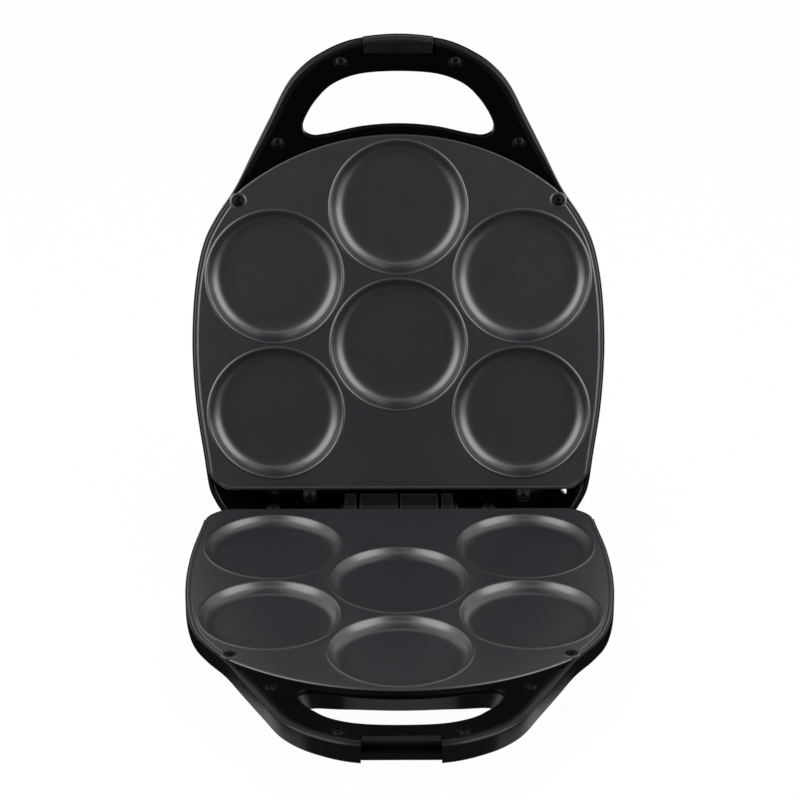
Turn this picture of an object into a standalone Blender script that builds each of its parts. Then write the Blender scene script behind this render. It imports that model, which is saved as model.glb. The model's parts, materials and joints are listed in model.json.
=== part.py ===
# Mini pancake maker: two hinged halves, each a moulded housing with a cast plate of six round wells.
# Units are metres, +Z is up, the handles point to -Y and the lid stands open.
#
# Both halves are modelled in the same half coordinates: x to the side, d forward from the hinge axis
# towards the handle, and u away from the parting plane, which is down in the base and up in the lid.
# A half's frame turns them into x, y = -d, z = -u, and the lid's frame is that frame turned over.

import bpy
import bmesh
import numpy as np
from math import pi, sin, cos, tan, sqrt, atan2, radians
from mathutils import Vector

# General clearances
seat_gap = 0.0003          # between pieces that touch or rest on each other
slip_gap = 0.0005          # between pieces that slide past each other
overrun = 0.003            # how far every cutter runs past what it cuts

# Wells and plate
well_rim_radius = 0.0375
well_row_gap = 0.0028      # between the rims of wells one behind the other
well_diagonal_gap = 0.0037
well_depth = 0.0056
well_floor_radius = 0.0290
well_lip = 0.0008          # rounded lip at the rim, across and down
well_wall = 0.0026         # metal under a well's floor
plate_thickness = 0.0030
plates_gap = 0.0015        # between the two plates when the lid is shut
plate_side_margin = 0.0086
plate_front_margin = 0.0035
plate_back_margin = 0.0073
plate_corner_radius = 0.0130
plate_arc_share = 1.205    # radius of the plate's front arc, of the half width

# Hinge
knuckle_radius = 0.0092
pin_radius = 0.0026
pin_clearance = 0.0002
pin_head_radius = 0.0046
pin_head_length = 0.0028
knuckle_gap = 0.0012
barrel_length = 0.0213
ear_gap = 0.0017
ear_length = 0.0067
clip_radius = 0.0042
clip_thickness = 0.0010
axis_to_plate = 0.00567    # how far the base plate's face stands above the hinge axis
lid_opening = radians(100.27)

# Housings
wall = 0.0022
rim_wall = 0.0020          # side wall beside the plate
rim_drop = 0.0005          # how far the rim stands below the plate's face
skirt_room = 0.00105       # between the plate's sheet and the skirt's floor, at the hinge
skirt_at_tip = 0.01175     # depth of the skirt's lower edge below the parting plane
skirt_edge = 0.0012
hood_reach = 0.0120        # how far the lid's back wall stands behind the hinge axis
base_shell_depth = 0.03375
lid_shell_depth = 0.0400
dome_inset = 0.0015
relief_gap = 0.0005        # between the base's recessed back wall and the open lid's rim
relief_drop = 0.0012       # its top edge, below the axis
relief_toe = 0.0080        # where the base's rim starts to rise, in front of the axis
relief_run = 0.0140        # how far forward the rise goes

# Handle
slot_back_gap = 0.0048
slot_depth = 0.0304
grip_bar = 0.0185
arm_width = 0.0200
slot_wall = 0.0020
cover_thickness = 0.0020
cover_end_width = 0.0025   # width at which the cover's two tapering ends stop

# Latch
latch_bay_width = 0.0400
latch_side_gap = 0.00075   # between the latch and each side of its bay
latch_pivot_setback = 0.0052
latch_pivot_height = 0.0060
latch_pin_radius = 0.00125
latch_eye_radius = 0.0030
latch_lug_width = 0.0028
latch_leg = 0.0010
latch_barb = 0.0011
latch_barb_height = 0.0020
latch_top = 0.0088
ledge_setback = 0.0024     # from the bay's straight front line, which is where the outline leaves the bay
ledge_thickness = 0.0016
ledge_drop = 0.00025       # of its top below the rim
pocket_depth = 0.0045
pocket_height = 0.0046
lip_setback = 0.0010

# Screws
screw_radius = 0.0012
screw_head_radius = 0.0029
screw_head_height = 0.0010
boss_radius = 0.0034
cover_sink = 0.0013        # depth of the counterbore under a head
cover_screw_length = 0.0062
plate_screw_length = 0.0085
plate_screw_inset = 0.0040  # from the plate's front arc
plate_screw_side_gap = 0.0001   # between its head and the housing's side wall
arm_screw_setback = 0.0093
grip_screw_offset = 0.0048
tab_width = 0.0070
tab_thickness = 0.0025
tab_drop = 0.0008
tab_reach = 0.0075
tab_screw_inset = 0.0036
tab_left = 0.0700
tab_right = 0.0500

# Heating parts
element_radius = 0.0032
element_lead_d = 0.0215
element_lead_x = 0.0180
clip_strip = 0.0012
clip_length = 0.0080
clip_foot = 0.0060
reflector_thickness = 0.0008
reflector_rim = 0.0020
reflector_clearance = 0.0010
post_radius = 0.0035
thermostat_gap = 0.0043    # between its flange and the middle well
thermostat_radius = 0.0080
thermostat_height = 0.0080
thermostat_flange = 0.0014
blade_width = 0.0048
blade_length = 0.0050
blade_thickness = 0.0008
fuse_radius = 0.0020
fuse_length = 0.0110
fuse_offset = 0.0160
terminal_length = 0.0220
terminal_width = 0.0120
terminal_x = 0.0450
terminal_d = 0.0280
lead_radius = 0.0012

# Feet, gland and lamps
foot_height = 0.0120
foot_post_radius = 0.0088
foot_post_height = 0.0080
foot_radius = 0.0075
foot_stem_radius = 0.0030
foot_stem_height = 0.0050
foot_front_x = 0.0580
foot_front_d = 0.1340
foot_back_x = 0.0620
foot_back_d = 0.0060
gland_x = 0.0300
gland_d = 0.0120
gland_bore = 0.0020
gland_neck = 0.0026
gland_flange = 0.0034
gland_flange_thickness = 0.0015
lens_radius = 0.0039
lens_flange = 0.0052
lens_stand = 0.0008
lens_length = 0.0066
lens_x = 0.0130
lens_setback = 0.0165      # from the front edge of the flat on top of the dome
lamp_radius = 0.0021
lamp_length = 0.0050
passage_width = 0.0070
passage_length = 0.0120
passage_inset = 0.0225     # from the housing's side
passage_d = 0.0030

# Shapes of the outline, as shares of the half width and of the lengths named beside each list
corner_shares = [(0.690, 1.000), (0.790, 0.930), (0.850, 0.500), (0.875, 0.170)]   # of hood_reach, behind
body_shares = [(0.905, 0.019), (0.926, 0.047), (0.952, 0.141), (0.987, 0.283), (1.000, 0.448),
               (0.978, 0.613), (0.9345, 0.717), (0.873, 0.783), (0.786, 0.854), (0.699, 0.948)]
handle_shares = [(0.611, 0.168), (0.524, 0.521), (0.437, 0.717), (0.349, 0.838), (0.262, 0.922),
                 (0.175, 0.968), (0.000, 1.000)]                                   # of handle_length
slot_shares = [(0.000, 0.000), (0.385, -0.049), (0.769, -0.188), (0.904, -0.204), (0.987, -0.125),
               (1.000, 0.007), (0.962, 0.1875), (0.865, 0.467), (0.731, 0.714), (0.577, 0.862),
               (0.385, 0.957), (0.000, 1.000)]                                     # of slot_depth
# Rings of the dome: depth, half width, front reach and back reach
dome_shares = [(0.080, 1.000, 1.000, 1.00), (0.260, 1.000, 1.000, 1.00), (0.478, 0.973, 0.925, 1.00),
               (0.689, 0.920, 0.796, 1.00), (0.867, 0.848, 0.673, 0.99), (0.964, 0.786, 0.584, 0.97),
               (1.000, 0.732, 0.504, 0.946)]
dome_centre_share = 0.472  # of plate_front
reflector_shares = (0.87, 0.915)  # of the plate's outline as the dome narrows it, at the floor and at the rim
arm_screw_share = 0.70            # of arm_width, from the slot's end
grip_screw_share = 0.60           # of the slot's half width
post_share = 0.88                 # of column
post_row_shares = (0.0, 2.4)      # of row_step, from the first row
well_shares = [(0.00, 0.00), (0.10, 0.14), (0.60, 0.76), (1.00, 1.00)]   # of a well's run-out and depth
lead_drop_shares = (0.8, 0.5)     # of the way down to the terminal block, neutral and live

# Values worked out from the sizes above
lens_bore = lamp_radius + seat_gap
row_step = (2 * well_rim_radius + well_row_gap) / 2
column = sqrt((2 * well_rim_radius + well_diagonal_gap) ** 2 - row_step ** 2)
half_width = column + well_rim_radius + plate_side_margin
plate_back = knuckle_radius + seat_gap
first_row = plate_back + plate_back_margin + well_rim_radius
rows = [first_row + k * row_step for k in range(4)]
wells = [(-column, rows[0]), (column, rows[0]), (0, rows[1]),
         (-column, rows[2]), (column, rows[2]), (0, rows[3])]
plate_front = first_row + 3 * row_step + well_rim_radius + plate_front_margin
slot_back = plate_front + slot_back_gap
slot_front = slot_back + slot_depth
tip = slot_front + grip_bar
handle_length = tip - plate_front
arc_radius = plate_arc_share * half_width
arc_centre = plate_front - arc_radius
plate_u = plates_gap / 2
rim_u = plate_u + rim_drop
plate_under = plate_u + plate_thickness
well_under = plate_u + well_depth + well_wall
parting_height = axis_to_plate + plate_u             # of the parting plane over the hinge axis
cover_under = rim_u + cover_thickness
dome_centre = dome_centre_share * plate_front
lens_d = dome_centre + (plate_front - dome_centre) * dome_shares[-1][2] - lens_setback
passage_x = half_width - passage_inset
latch_width = latch_bay_width - 2 * latch_side_gap
skirt_at_hinge = plate_under + wall + skirt_room
latch_bay_depth = latch_pivot_setback + latch_eye_radius + latch_leg
element_u = well_under + seat_gap + element_radius
reflector_top = element_u + element_radius + seat_gap + clip_strip + reflector_clearance
reflector_under = reflector_top + reflector_thickness
base_floor = base_shell_depth - wall
terminal_gap = 2 * lead_radius + 3 * seat_gap
terminal_height = base_floor - seat_gap - reflector_under - terminal_gap
hinge_height = base_shell_depth - parting_height + foot_height
relief_back = (parting_height + rim_u) * sin(lid_opening) + hood_reach * cos(lid_opening) - relief_gap
tab_u = plate_u + tab_drop + tab_thickness
ledge_top = rim_u + ledge_drop
ledge_under = ledge_top + ledge_thickness
foot_bottom = base_shell_depth + foot_height
foot_pad = foot_height - foot_post_height - seat_gap
feet = [(-foot_front_x, foot_front_d), (foot_front_x, foot_front_d), (-foot_back_x, foot_back_d),
        (foot_back_x, foot_back_d)]
thermostat_d = rows[1] - well_rim_radius - well_lip - thermostat_gap - thermostat_flange - thermostat_radius
barrel = (-knuckle_gap / 2 - barrel_length, -knuckle_gap / 2)
ear_start = knuckle_gap / 2 + barrel_length + ear_gap
ear = (ear_start, ear_start + ear_length)

palette = {
    "plastic": ((0.020, 0.020, 0.022), 0.42, 0.0),
    "coating": ((0.045, 0.045, 0.048), 0.38, 0.3),
    "steel": ((0.55, 0.55, 0.56), 0.30, 1.0),
    "black steel": ((0.05, 0.05, 0.055), 0.35, 1.0),
    "aluminium": ((0.70, 0.70, 0.71), 0.40, 1.0),
    "rubber": ((0.015, 0.015, 0.015), 0.80, 0.0),
    "ceramic": ((0.80, 0.78, 0.72), 0.55, 0.0),
    "red lens": ((0.55, 0.02, 0.02), 0.15, 0.0),
    "green lens": ((0.03, 0.40, 0.08), 0.15, 0.0),
    "lamp glass": ((0.85, 0.60, 0.35), 0.10, 0.0),
    "red lead": ((0.45, 0.03, 0.03), 0.50, 0.0),
    "blue lead": ((0.03, 0.08, 0.40), 0.50, 0.0),
}


# Outlines, as lists of (x, d)

def smooth_curve(points, steps):
    """Centripetal Catmull-Rom curve through a closed list of points, with so many steps between two."""
    points = np.array(points, float)
    before, after, beyond = np.roll(points, 1, 0), np.roll(points, -1, 0), np.roll(points, -2, 0)
    lengths = np.sqrt(np.linalg.norm(after - points, axis=1))[:, None]
    last, following = np.roll(lengths, 1, 0), np.roll(lengths, -1, 0)
    leave = lengths * ((points - before) / last - (after - before) / (last + lengths)) + after - points
    arrive = after - points + lengths * ((beyond - after) / following
                                         - (beyond - points) / (lengths + following))
    rows = []
    for step in range(steps):
        t = step / steps
        rows.append(points + leave * t + (3 * (after - points) - 2 * leave - arrive) * t ** 2
                    + (2 * (points - after) + leave + arrive) * t ** 3)
    return np.stack(rows, 1).reshape(-1, 2)


def inset(outline, distance):
    """The outline moved inwards by a distance; it runs anticlockwise in x and d."""
    outline = np.array(outline, float)
    forward = np.roll(outline, -1, 0) - outline
    forward /= np.linalg.norm(forward, axis=1)[:, None]
    backward = np.roll(forward, 1, 0)
    normal = np.stack([-(forward + backward)[:, 1], (forward + backward)[:, 0]], 1)
    normal /= np.linalg.norm(normal, axis=1)[:, None]
    lean = (normal * np.stack([-forward[:, 1], forward[:, 0]], 1)).sum(1)
    return outline + normal * (distance / np.maximum(lean, 0.6))[:, None]


def both_sides(right):
    """Closes a right-hand list that runs from back to front with its mirror image."""
    left = [(-x, d) for x, d in reversed(right) if x > seat_gap]
    return right + left


def housing_outline():
    right = [(x * half_width, -d * hood_reach) for x, d in corner_shares]
    right += [(x * half_width, d * plate_front) for x, d in body_shares]
    right += [(x * half_width, plate_front + d * handle_length) for x, d in handle_shares]
    return np.array(both_sides(right))


outline = housing_outline()


def side_at(d, curve=outline):
    """Half width of an outline where it passes a distance d on the right."""
    right = curve[(curve[:, 0] > 0)]
    right = right[np.argsort(right[:, 1])]
    return float(np.interp(d, right[:, 1], right[:, 0]))


def within_arc(curve, radius):
    """Draws the points ahead of an arc round the plate's front back onto it."""
    curve = np.array(curve, float)
    reach = np.hypot(curve[:, 0], curve[:, 1] - arc_centre)
    ahead = (reach > radius) & (curve[:, 1] > arc_centre)
    pull = np.where(ahead, radius / reach, 1)
    return np.stack([curve[:, 0] * pull, arc_centre + (curve[:, 1] - arc_centre) * pull], 1)


def plate_outline():
    curve = within_arc(inset(outline, rim_wall + seat_gap), arc_radius)
    start = plate_back + plate_corner_radius
    side = side_at(start, curve) - plate_corner_radius
    kept = [tuple(p) for p in curve if p[1] > start and p[0] > -seat_gap]
    angles = [-pi / 2 + pi / 2 * k / 5 for k in range(6)]
    corner = [(side + plate_corner_radius * cos(a), start + plate_corner_radius * sin(a)) for a in angles]
    return np.array(both_sides(corner + kept))


def slot_outline():
    width = side_at(slot_back) - arm_width
    right = [(x * width, slot_back + d * slot_depth) for x, d in slot_shares]
    left = [(-x, d) for x, d in reversed(right[1:-1])]
    return smooth_curve(right + left, 2)


def cover_outline():
    curve = inset(outline, rim_wall + seat_gap)
    near = arc_radius + seat_gap + slip_gap
    reach = np.hypot(curve[:, 0], curve[:, 1] - arc_centre)
    ahead = [tuple(p) for p, r in zip(curve, reach) if r > near + cover_end_width and p[1] > arc_centre]
    first, last = ahead[0], ahead[-1]
    a, b = (atan2(p[1] - arc_centre, p[0]) for p in (last, first))
    arc = [a + (b - a) * k / 16 for k in range(17)]
    return np.array(ahead + [(near * cos(t), arc_centre + near * sin(t)) for t in arc])


def plate_screw_places():
    """Where a screw that stands one inset behind the front arc comes nearest to the side wall."""
    room = inset(outline, rim_wall + plate_screw_side_gap + screw_head_radius)
    angles, reach = np.linspace(0, pi / 2, 91), arc_radius - plate_screw_inset
    across, along = np.sin(angles) * reach, np.cos(angles) * reach
    spare = [side_at(arc_centre + d, room) - x for x, d in zip(across, along)]
    x, d = (float(np.interp(0, np.negative(spare), row)) for row in (across, along))
    return [(side * x, arc_centre + d) for side in (-1, 1)]


slot = slot_outline()
slot_half_width = float(slot[:, 0].max())
front_edge = sorted((x, d) for x, d in outline.tolist() if d > slot_front and x > -seat_gap)
bay_line = float(np.interp(latch_bay_width / 2, *zip(*front_edge)))
bay_back = bay_line - latch_pivot_setback - latch_eye_radius
ledge_front = bay_line - ledge_setback
pivot_d = bay_line - latch_pivot_setback
plate_screws = plate_screw_places()
tab_screws = [(-tab_left, plate_back - tab_screw_inset), (tab_right, plate_back - tab_screw_inset)]
arm_x = slot_half_width + arm_screw_share * arm_width
grip_x = slot_half_width * grip_screw_share
cover_screws = [(-arm_x, slot_back - arm_screw_setback), (arm_x, slot_back - arm_screw_setback),
                (-grip_x, slot_front + grip_screw_offset), (grip_x, slot_front + grip_screw_offset)]
posts = [(side * post_share * column, first_row + row * row_step)
         for side in (-1, 1) for row in post_row_shares]


def skirt_u(d):
    return skirt_at_hinge + (skirt_at_tip - skirt_at_hinge) * d / tip


def dome_ring(shares, depth, wall_thickness=0):
    """One ring of the dome, moved in by a wall for the hollow inside it."""
    deep, side, front, back = shares
    curve = within_arc(inset(outline, dome_inset), arc_radius + dome_inset)
    stretch = np.where(curve[:, 1] > dome_centre, front, back)
    ring = np.stack([curve[:, 0] * side, dome_centre + (curve[:, 1] - dome_centre) * stretch], 1)
    if wall_thickness:
        ring = inset(ring, wall_thickness)
    return [(x, d, deep * depth - wall_thickness) for x, d in ring]


# Where the open lid reaches farthest back, which sets how far the hinge stands behind the origin
def rest_reach(d, u):
    return d * -cos(lid_opening) + (parting_height + u) * sin(lid_opening)


rear_reach = max(rest_reach(d, u) for shares in dome_shares for x, d, u in dome_ring(shares, lid_shell_depth))
hinge_y = (bay_line - rear_reach) / 2


# Building blocks; every one takes half coordinates (x, d, u)

def clear_scene():
    for item in list(bpy.data.objects):
        bpy.data.objects.remove(item, do_unlink=True)


def material(name):
    if name in bpy.data.materials:
        return bpy.data.materials[name]
    colour, roughness, metallic = palette[name]
    made = bpy.data.materials.new(name)
    made.use_nodes = True
    shader = made.node_tree.nodes["Principled BSDF"]
    shader.inputs["Base Color"].default_value = (*colour, 1)
    shader.inputs["Roughness"].default_value = roughness
    shader.inputs["Metallic"].default_value = metallic
    return made


def add(name, mesh, finish=None, frame=None, place=(0, 0, 0)):
    item = bpy.data.objects.new(name, mesh)
    bpy.context.collection.objects.link(item)
    item.parent = frame
    item.location = (place[0], -place[1], -place[2])
    if finish:
        if not mesh.materials:
            mesh.materials.append(material(finish))
    else:
        item.hide_render = True
        item.display_type = 'WIRE'
    return item


def mesh_of(name, points, faces, smooth=False):
    mesh = bpy.data.meshes.new(name)
    mesh.from_pydata([(x, -d, -u) for x, d, u in points], [], faces)
    work = bmesh.new()
    work.from_mesh(mesh)
    work.normal_update()
    bent = [f for f in work.faces if len(f.verts) == 4
            and abs((f.verts[1].co - f.verts[0].co).dot(f.normal)) > seat_gap / 1000]
    bmesh.ops.triangulate(work, faces=bent)    # so that every cut meets the same flat faces
    bmesh.ops.recalc_face_normals(work, faces=work.faces)
    work.to_mesh(mesh)
    work.free()
    if smooth:
        mesh.shade_smooth()
        mesh.set_sharp_from_angle(angle=radians(35))
    return mesh


def ring_mesh(name, rings, smooth=False):
    """A solid skinned over closed rings of as many points each, with a flat face at both ends."""
    count = len(rings[0])
    points = [tuple(p) for ring in rings for p in ring]
    faces = [list(range(count)), list(range((len(rings) - 1) * count, len(rings) * count))]
    for k in range(len(rings) - 1):
        for i in range(count):
            j = (i + 1) % count
            faces.append((k * count + i, k * count + j, (k + 1) * count + j, (k + 1) * count + i))
    return mesh_of(name, points, faces, smooth)


def prism_mesh(name, curve, low, high):
    return ring_mesh(name, [[(x, d, low) for x, d in curve], [(x, d, high) for x, d in curve]])


def profile_mesh(name, profile, left, right):
    """A (d, u) profile carried across from x = left to x = right."""
    return ring_mesh(name, [[(x, d, u) for d, u in profile] for x in (left, right)])


def box_mesh(name, x, d, u):
    return prism_mesh(name, [(x[0], d[0]), (x[1], d[0]), (x[1], d[1]), (x[0], d[1])], u[0], u[1])


def turned_mesh(name, profile, segments=24, along="u"):
    """A profile of (radius, height) turned round the u axis, or round the x axis."""
    rings = []
    for radius, height in profile:
        ring = []
        for k in range(segments):
            a = 2 * pi * k / segments
            if along == "u":
                ring.append((radius * cos(a), radius * sin(a), height))
            else:
                ring.append((height, radius * cos(a), radius * sin(a)))
        rings.append(ring)
    return ring_mesh(name, rings, smooth=True)


def join_meshes(name, meshes_and_places):
    """Puts copies of meshes at their places in one mesh, for a cutter with several parts."""
    work = bmesh.new()
    for mesh, (x, d, u) in meshes_and_places:
        start = len(work.verts)
        work.from_mesh(mesh)
        work.verts.ensure_lookup_table()
        for vertex in work.verts[start:]:
            vertex.co += Vector((x, -d, -u))
    joined = bpy.data.meshes.new(name)
    work.to_mesh(joined)
    work.free()
    return joined


def cut(target, cutter, operation='DIFFERENCE'):
    step = target.modifiers.new(cutter.name, 'BOOLEAN')
    step.operation = operation
    step.object = cutter
    return target


def tool(name, mesh, frame, place=(0, 0, 0)):
    return add(name, mesh, None, frame, place)


# Frames of the two halves, and the lid's joint axis

def make_frames():
    base = bpy.data.objects.new("base_frame", None)
    hinge = bpy.data.objects.new("lid_hinge_axis", None)
    lid = bpy.data.objects.new("lid_frame", None)
    for item in (base, hinge, lid):
        bpy.context.collection.objects.link(item)
    base.location = (0, hinge_y, hinge_height + parting_height)
    hinge.location = (0, hinge_y, hinge_height)
    hinge.rotation_euler.x = -lid_opening
    lid.parent = hinge
    lid.location.z = parting_height
    lid.rotation_euler.y = pi
    return base, lid


# Housings

def tray_mesh(name, inwards, lift, top):
    """The shallow tray of body and handle, with a rounded lower edge; its floor is a tilted plane."""
    edge = skirt_edge
    curve, low = inset(outline, inwards), inset(outline, inwards + edge)
    return ring_mesh(name, [[(x, d, top) for x, d in curve],
                            [(x, d, skirt_u(d) - lift - edge) for x, d in curve],
                            [(x, d, skirt_u(d) - lift) for x, d in low]])


def dome_mesh(name, depth, wall_thickness=0):
    rings = [dome_ring(shares, depth, wall_thickness) for shares in dome_shares]
    if wall_thickness:
        rings[0] = [(x, d, -overrun) for x, d, u in rings[0]]
    return ring_mesh(name, rings)


def boss_meshes(depth):
    long_boss = turned_mesh("boss", [(boss_radius, plate_under + seat_gap), (boss_radius, depth + overrun)], 10)
    tab_boss = turned_mesh("tab boss", [(boss_radius, tab_u + seat_gap), (boss_radius, depth + overrun)], 10)
    short_boss = turned_mesh("short boss", [(boss_radius, cover_under + seat_gap), (boss_radius, depth)], 10)
    post = turned_mesh("post", [(post_radius, reflector_under + seat_gap), (post_radius, depth + overrun)], 10)
    places = [(long_boss, (x, d, 0)) for x, d in plate_screws] + [(tab_boss, (x, d, 0)) for x, d in tab_screws]
    places += [(short_boss, (x, d, 0)) for x, d in cover_screws] + [(post, (x, d, 0)) for x, d in posts]
    return places


def hole(name, radius, low, high, along="u", segments=10):
    """A cutter for a round hole, with the clearance that its screw, stem or pin needs."""
    return turned_mesh(name, [(radius, low), (radius, high)], segments, along)


def common_holes():
    """Handle slot and screw holes, which are the same in both housings."""
    cover_hole = hole("cover hole", screw_radius + seat_gap, -overrun,
                      rim_u + cover_sink + cover_screw_length + seat_gap)
    plate_hole = hole("plate hole", screw_radius + seat_gap, -overrun, plate_under + plate_screw_length)
    places = [(cover_hole, (x, d, 0)) for x, d in cover_screws]
    places += [(plate_hole, (x, d, 0)) for x, d in plate_screws + tab_screws]
    return places + [(prism_mesh("slot", slot, -overrun, skirt_at_tip + overrun), (0, 0, 0))]


def knuckle_meshes(axis_u):
    parts = []
    for left, right in (barrel, ear):
        parts.append((turned_mesh("knuckle", [(knuckle_radius, left), (knuckle_radius, right)], 28, "x"),
                      (0, 0, axis_u)))
    return parts


def make_housing(name, depth, frame, axis_u):
    """A housing is its outer solid less a hollow that leaves the bosses, posts and walls standing."""
    body = add(name, tray_mesh(name, 0, 0, rim_u), "plastic", frame)
    cut(body, tool(name + " dome", dome_mesh("dome", depth), frame), 'UNION')
    bosses = tool(name + " bosses", join_meshes("bosses", boss_meshes(depth)), frame)
    slot_solid = tool(name + " slot wall", prism_mesh("slot wall", inset(slot, -slot_wall),
                                                      cover_under + seat_gap, depth), frame)
    hollow = tool(name + " hollow", dome_mesh("hollow", depth, wall), frame)
    cut(hollow, tool(name + " tray hollow", tray_mesh("tray hollow", rim_wall, wall, -overrun), frame), 'UNION')
    cut(hollow, bosses)
    cut(hollow, slot_solid)
    knuckles = tool(name + " knuckles", join_meshes("knuckles", knuckle_meshes(axis_u)), frame)
    if axis_u > 0:
        shape_base(body, hollow, bosses, frame, name)
    else:
        shape_lid(hollow, frame, name)
    cut(body, hollow)
    cut(body, knuckles, 'UNION')
    return body


def ledge_u(y, below):
    """Depth of the open lid's back face at a distance y behind the axis, and so much below it."""
    return parting_height + hood_reach / sin(lid_opening) - y / tan(lid_opening) + below


def relief_profile(back, top, below):
    """The space behind the base's recessed back wall and above the ledge that the open lid's back rests on."""
    far = 3 * hood_reach
    return [(-back, top), (-back, ledge_u(back, below)), (-far, ledge_u(far, below)), (-far, -far)]


def shape_base(body, hollow, bosses, frame, name):
    wide = half_width + overrun
    gap = seat_gap / sin(lid_opening)
    low = parting_height + relief_drop
    front = [(relief_toe + relief_run, -3 * hood_reach), (relief_toe + relief_run, rim_u), (relief_toe, low)]
    profile = front + relief_profile(relief_back, low, gap)
    swing = tool(name + " swing relief", profile_mesh("swing relief", profile, -wide, wide), frame)
    cut(swing, bosses)
    cut(body, swing)
    inner = relief_profile(relief_back - wall, -3 * hood_reach, gap + wall)
    cut(hollow, tool(name + " back wall", profile_mesh("back wall", inner, -wide, wide), frame))
    half = latch_bay_width / 2
    keeper = box_mesh("keeper", (-half - wall, half + wall), (bay_back - wall, tip),
                      (cover_under + seat_gap, skirt_at_tip))
    ledge = box_mesh("ledge", (seat_gap - half, half - seat_gap), (bay_back, tip),
                     (ledge_top, cover_under + wall))
    cut(hollow, tool(name + " keeper", keeper, frame))
    cut(hollow, tool(name + " ledge", ledge, frame))


def shape_lid(hollow, frame, name):
    lugs = []
    for side in (-1, 1):
        start = side * (latch_bay_width / 2)
        x = sorted((start, start + side * latch_lug_width))
        lug = box_mesh("lug", x, (pivot_d - latch_lug_width, pivot_d + latch_lug_width),
                       (cover_under + seat_gap, skirt_at_tip))
        lugs.append((lug, (0, 0, 0)))
    cut(hollow, tool(name + " lugs", join_meshes("lugs", lugs), frame))


def finish_base_housing(body, frame):
    """Feet, hinge notches, latch recess and holes of the base."""
    name = body.name
    post = turned_mesh("foot post", [(foot_post_radius, base_shell_depth - wall / 2),
                                     (foot_post_radius, base_shell_depth + foot_post_height)], 20)
    cut(body, tool(name + " foot posts", join_meshes("foot posts", [(post, (x, d, 0)) for x, d in feet]),
                   frame), 'UNION')
    stem = hole("stem hole", foot_stem_radius + seat_gap, foot_bottom - foot_pad - foot_stem_height,
                foot_bottom, segments=12)
    gland = hole("gland hole", gland_neck + seat_gap, base_floor - overrun, base_shell_depth + overrun,
                 segments=16)
    spans = [(-barrel[1] - slip_gap, -barrel[0] + slip_gap, knuckle_radius),
             (-ear[1] - 3 * clip_thickness - slip_gap, -ear[0] + slip_gap, knuckle_radius),
             (ear[1] - seat_gap, ear[1] + seat_gap + pin_head_length + slip_gap, pin_head_radius)]
    notches = [box_mesh("notch", (left, right), (-hood_reach - overrun, radius + slip_gap),
                        (-knuckle_radius, parting_height + radius + slip_gap)) for left, right, radius in spans]
    pocket_under = ledge_under + pocket_height
    far, deep = tip + overrun, skirt_at_tip + overrun
    recess = profile_mesh("latch recess", [
        (ledge_front, -overrun), (far, -overrun), (far, deep), (bay_line - lip_setback, deep),
        (bay_line - lip_setback, pocket_under), (ledge_front - pocket_depth, pocket_under),
        (ledge_front - pocket_depth, ledge_under), (ledge_front, ledge_under)],
        -latch_bay_width / 2, latch_bay_width / 2)
    holes = common_holes() + [(stem, (x, d, 0)) for x, d in feet] + [(gland, (gland_x, gland_d, 0))]
    holes += [(mesh, (0, 0, 0)) for mesh in notches + [recess]]
    cut(body, tool(name + " holes", join_meshes("base holes", holes), frame))
    cut(body, tool(name + " pin bore", pin_bore(), frame, (0, 0, parting_height)))


def pin_bore():
    return hole("pin bore", pin_radius + pin_clearance, -half_width / 2, half_width / 2, "x", 24)


def finish_lid_housing(body, frame):
    """Hinge webs, latch bay, lens holes and the passage for the internal lead."""
    name = body.name
    web_top = rim_u + wall + ear_length
    for k, (left, right) in enumerate((barrel, ear)):
        back, middle = -hood_reach + wall / 2, knuckle_radius / 2
        web = profile_mesh("web", [(back, rim_u + seat_gap), (-middle, rim_u + seat_gap),
                                   (-middle, -parting_height), (middle, -parting_height), (middle, web_top),
                                   (back, web_top)], left, right)
        cut(body, tool(f"{name} web {k + 1}", web, frame), 'UNION')
    half = latch_bay_width / 2
    bay = box_mesh("bay", (-half, half), (bay_back, tip + overrun), (-overrun, latch_top + slip_gap))
    lens_hole = hole("lens hole", lens_radius + seat_gap, lid_shell_depth - 2 * wall, lid_shell_depth + overrun,
                     segments=20)
    passage = box_mesh("passage", (-passage_x - passage_width / 2, -passage_x + passage_width / 2),
                       (passage_d - passage_length / 2, passage_d + passage_length / 2),
                       (lid_shell_depth / 3, lid_shell_depth + overrun))
    holes = common_holes() + [(bay, (0, 0, 0)), (passage, (0, 0, 0))]
    holes += [(lens_hole, (side * lens_x, lens_d, 0)) for side in (-1, 1)]
    cut(body, tool(name + " holes", join_meshes("lid holes", holes), frame))
    latch_bore = hole("latch pin bore", latch_pin_radius + pin_clearance, -half_width / 4, half_width / 4,
                      "x", 12)
    bores = [(pin_bore(), (0, 0, -parting_height)), (latch_bore, (0, pivot_d, latch_pivot_height))]
    cut(body, tool(name + " pin bores", join_meshes("lid pin bores", bores), frame))


# Plates

def plate_mesh():
    """Flat sheet with a bevelled edge and two screw tabs."""
    curve = plate_outline()
    edge = well_lip
    inner = inset(curve, edge)
    return ring_mesh("plate", [[(x, d, plate_u) for x, d in inner], [(x, d, plate_u + edge) for x, d in curve],
                               [(x, d, plate_under) for x, d in curve]])


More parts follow.
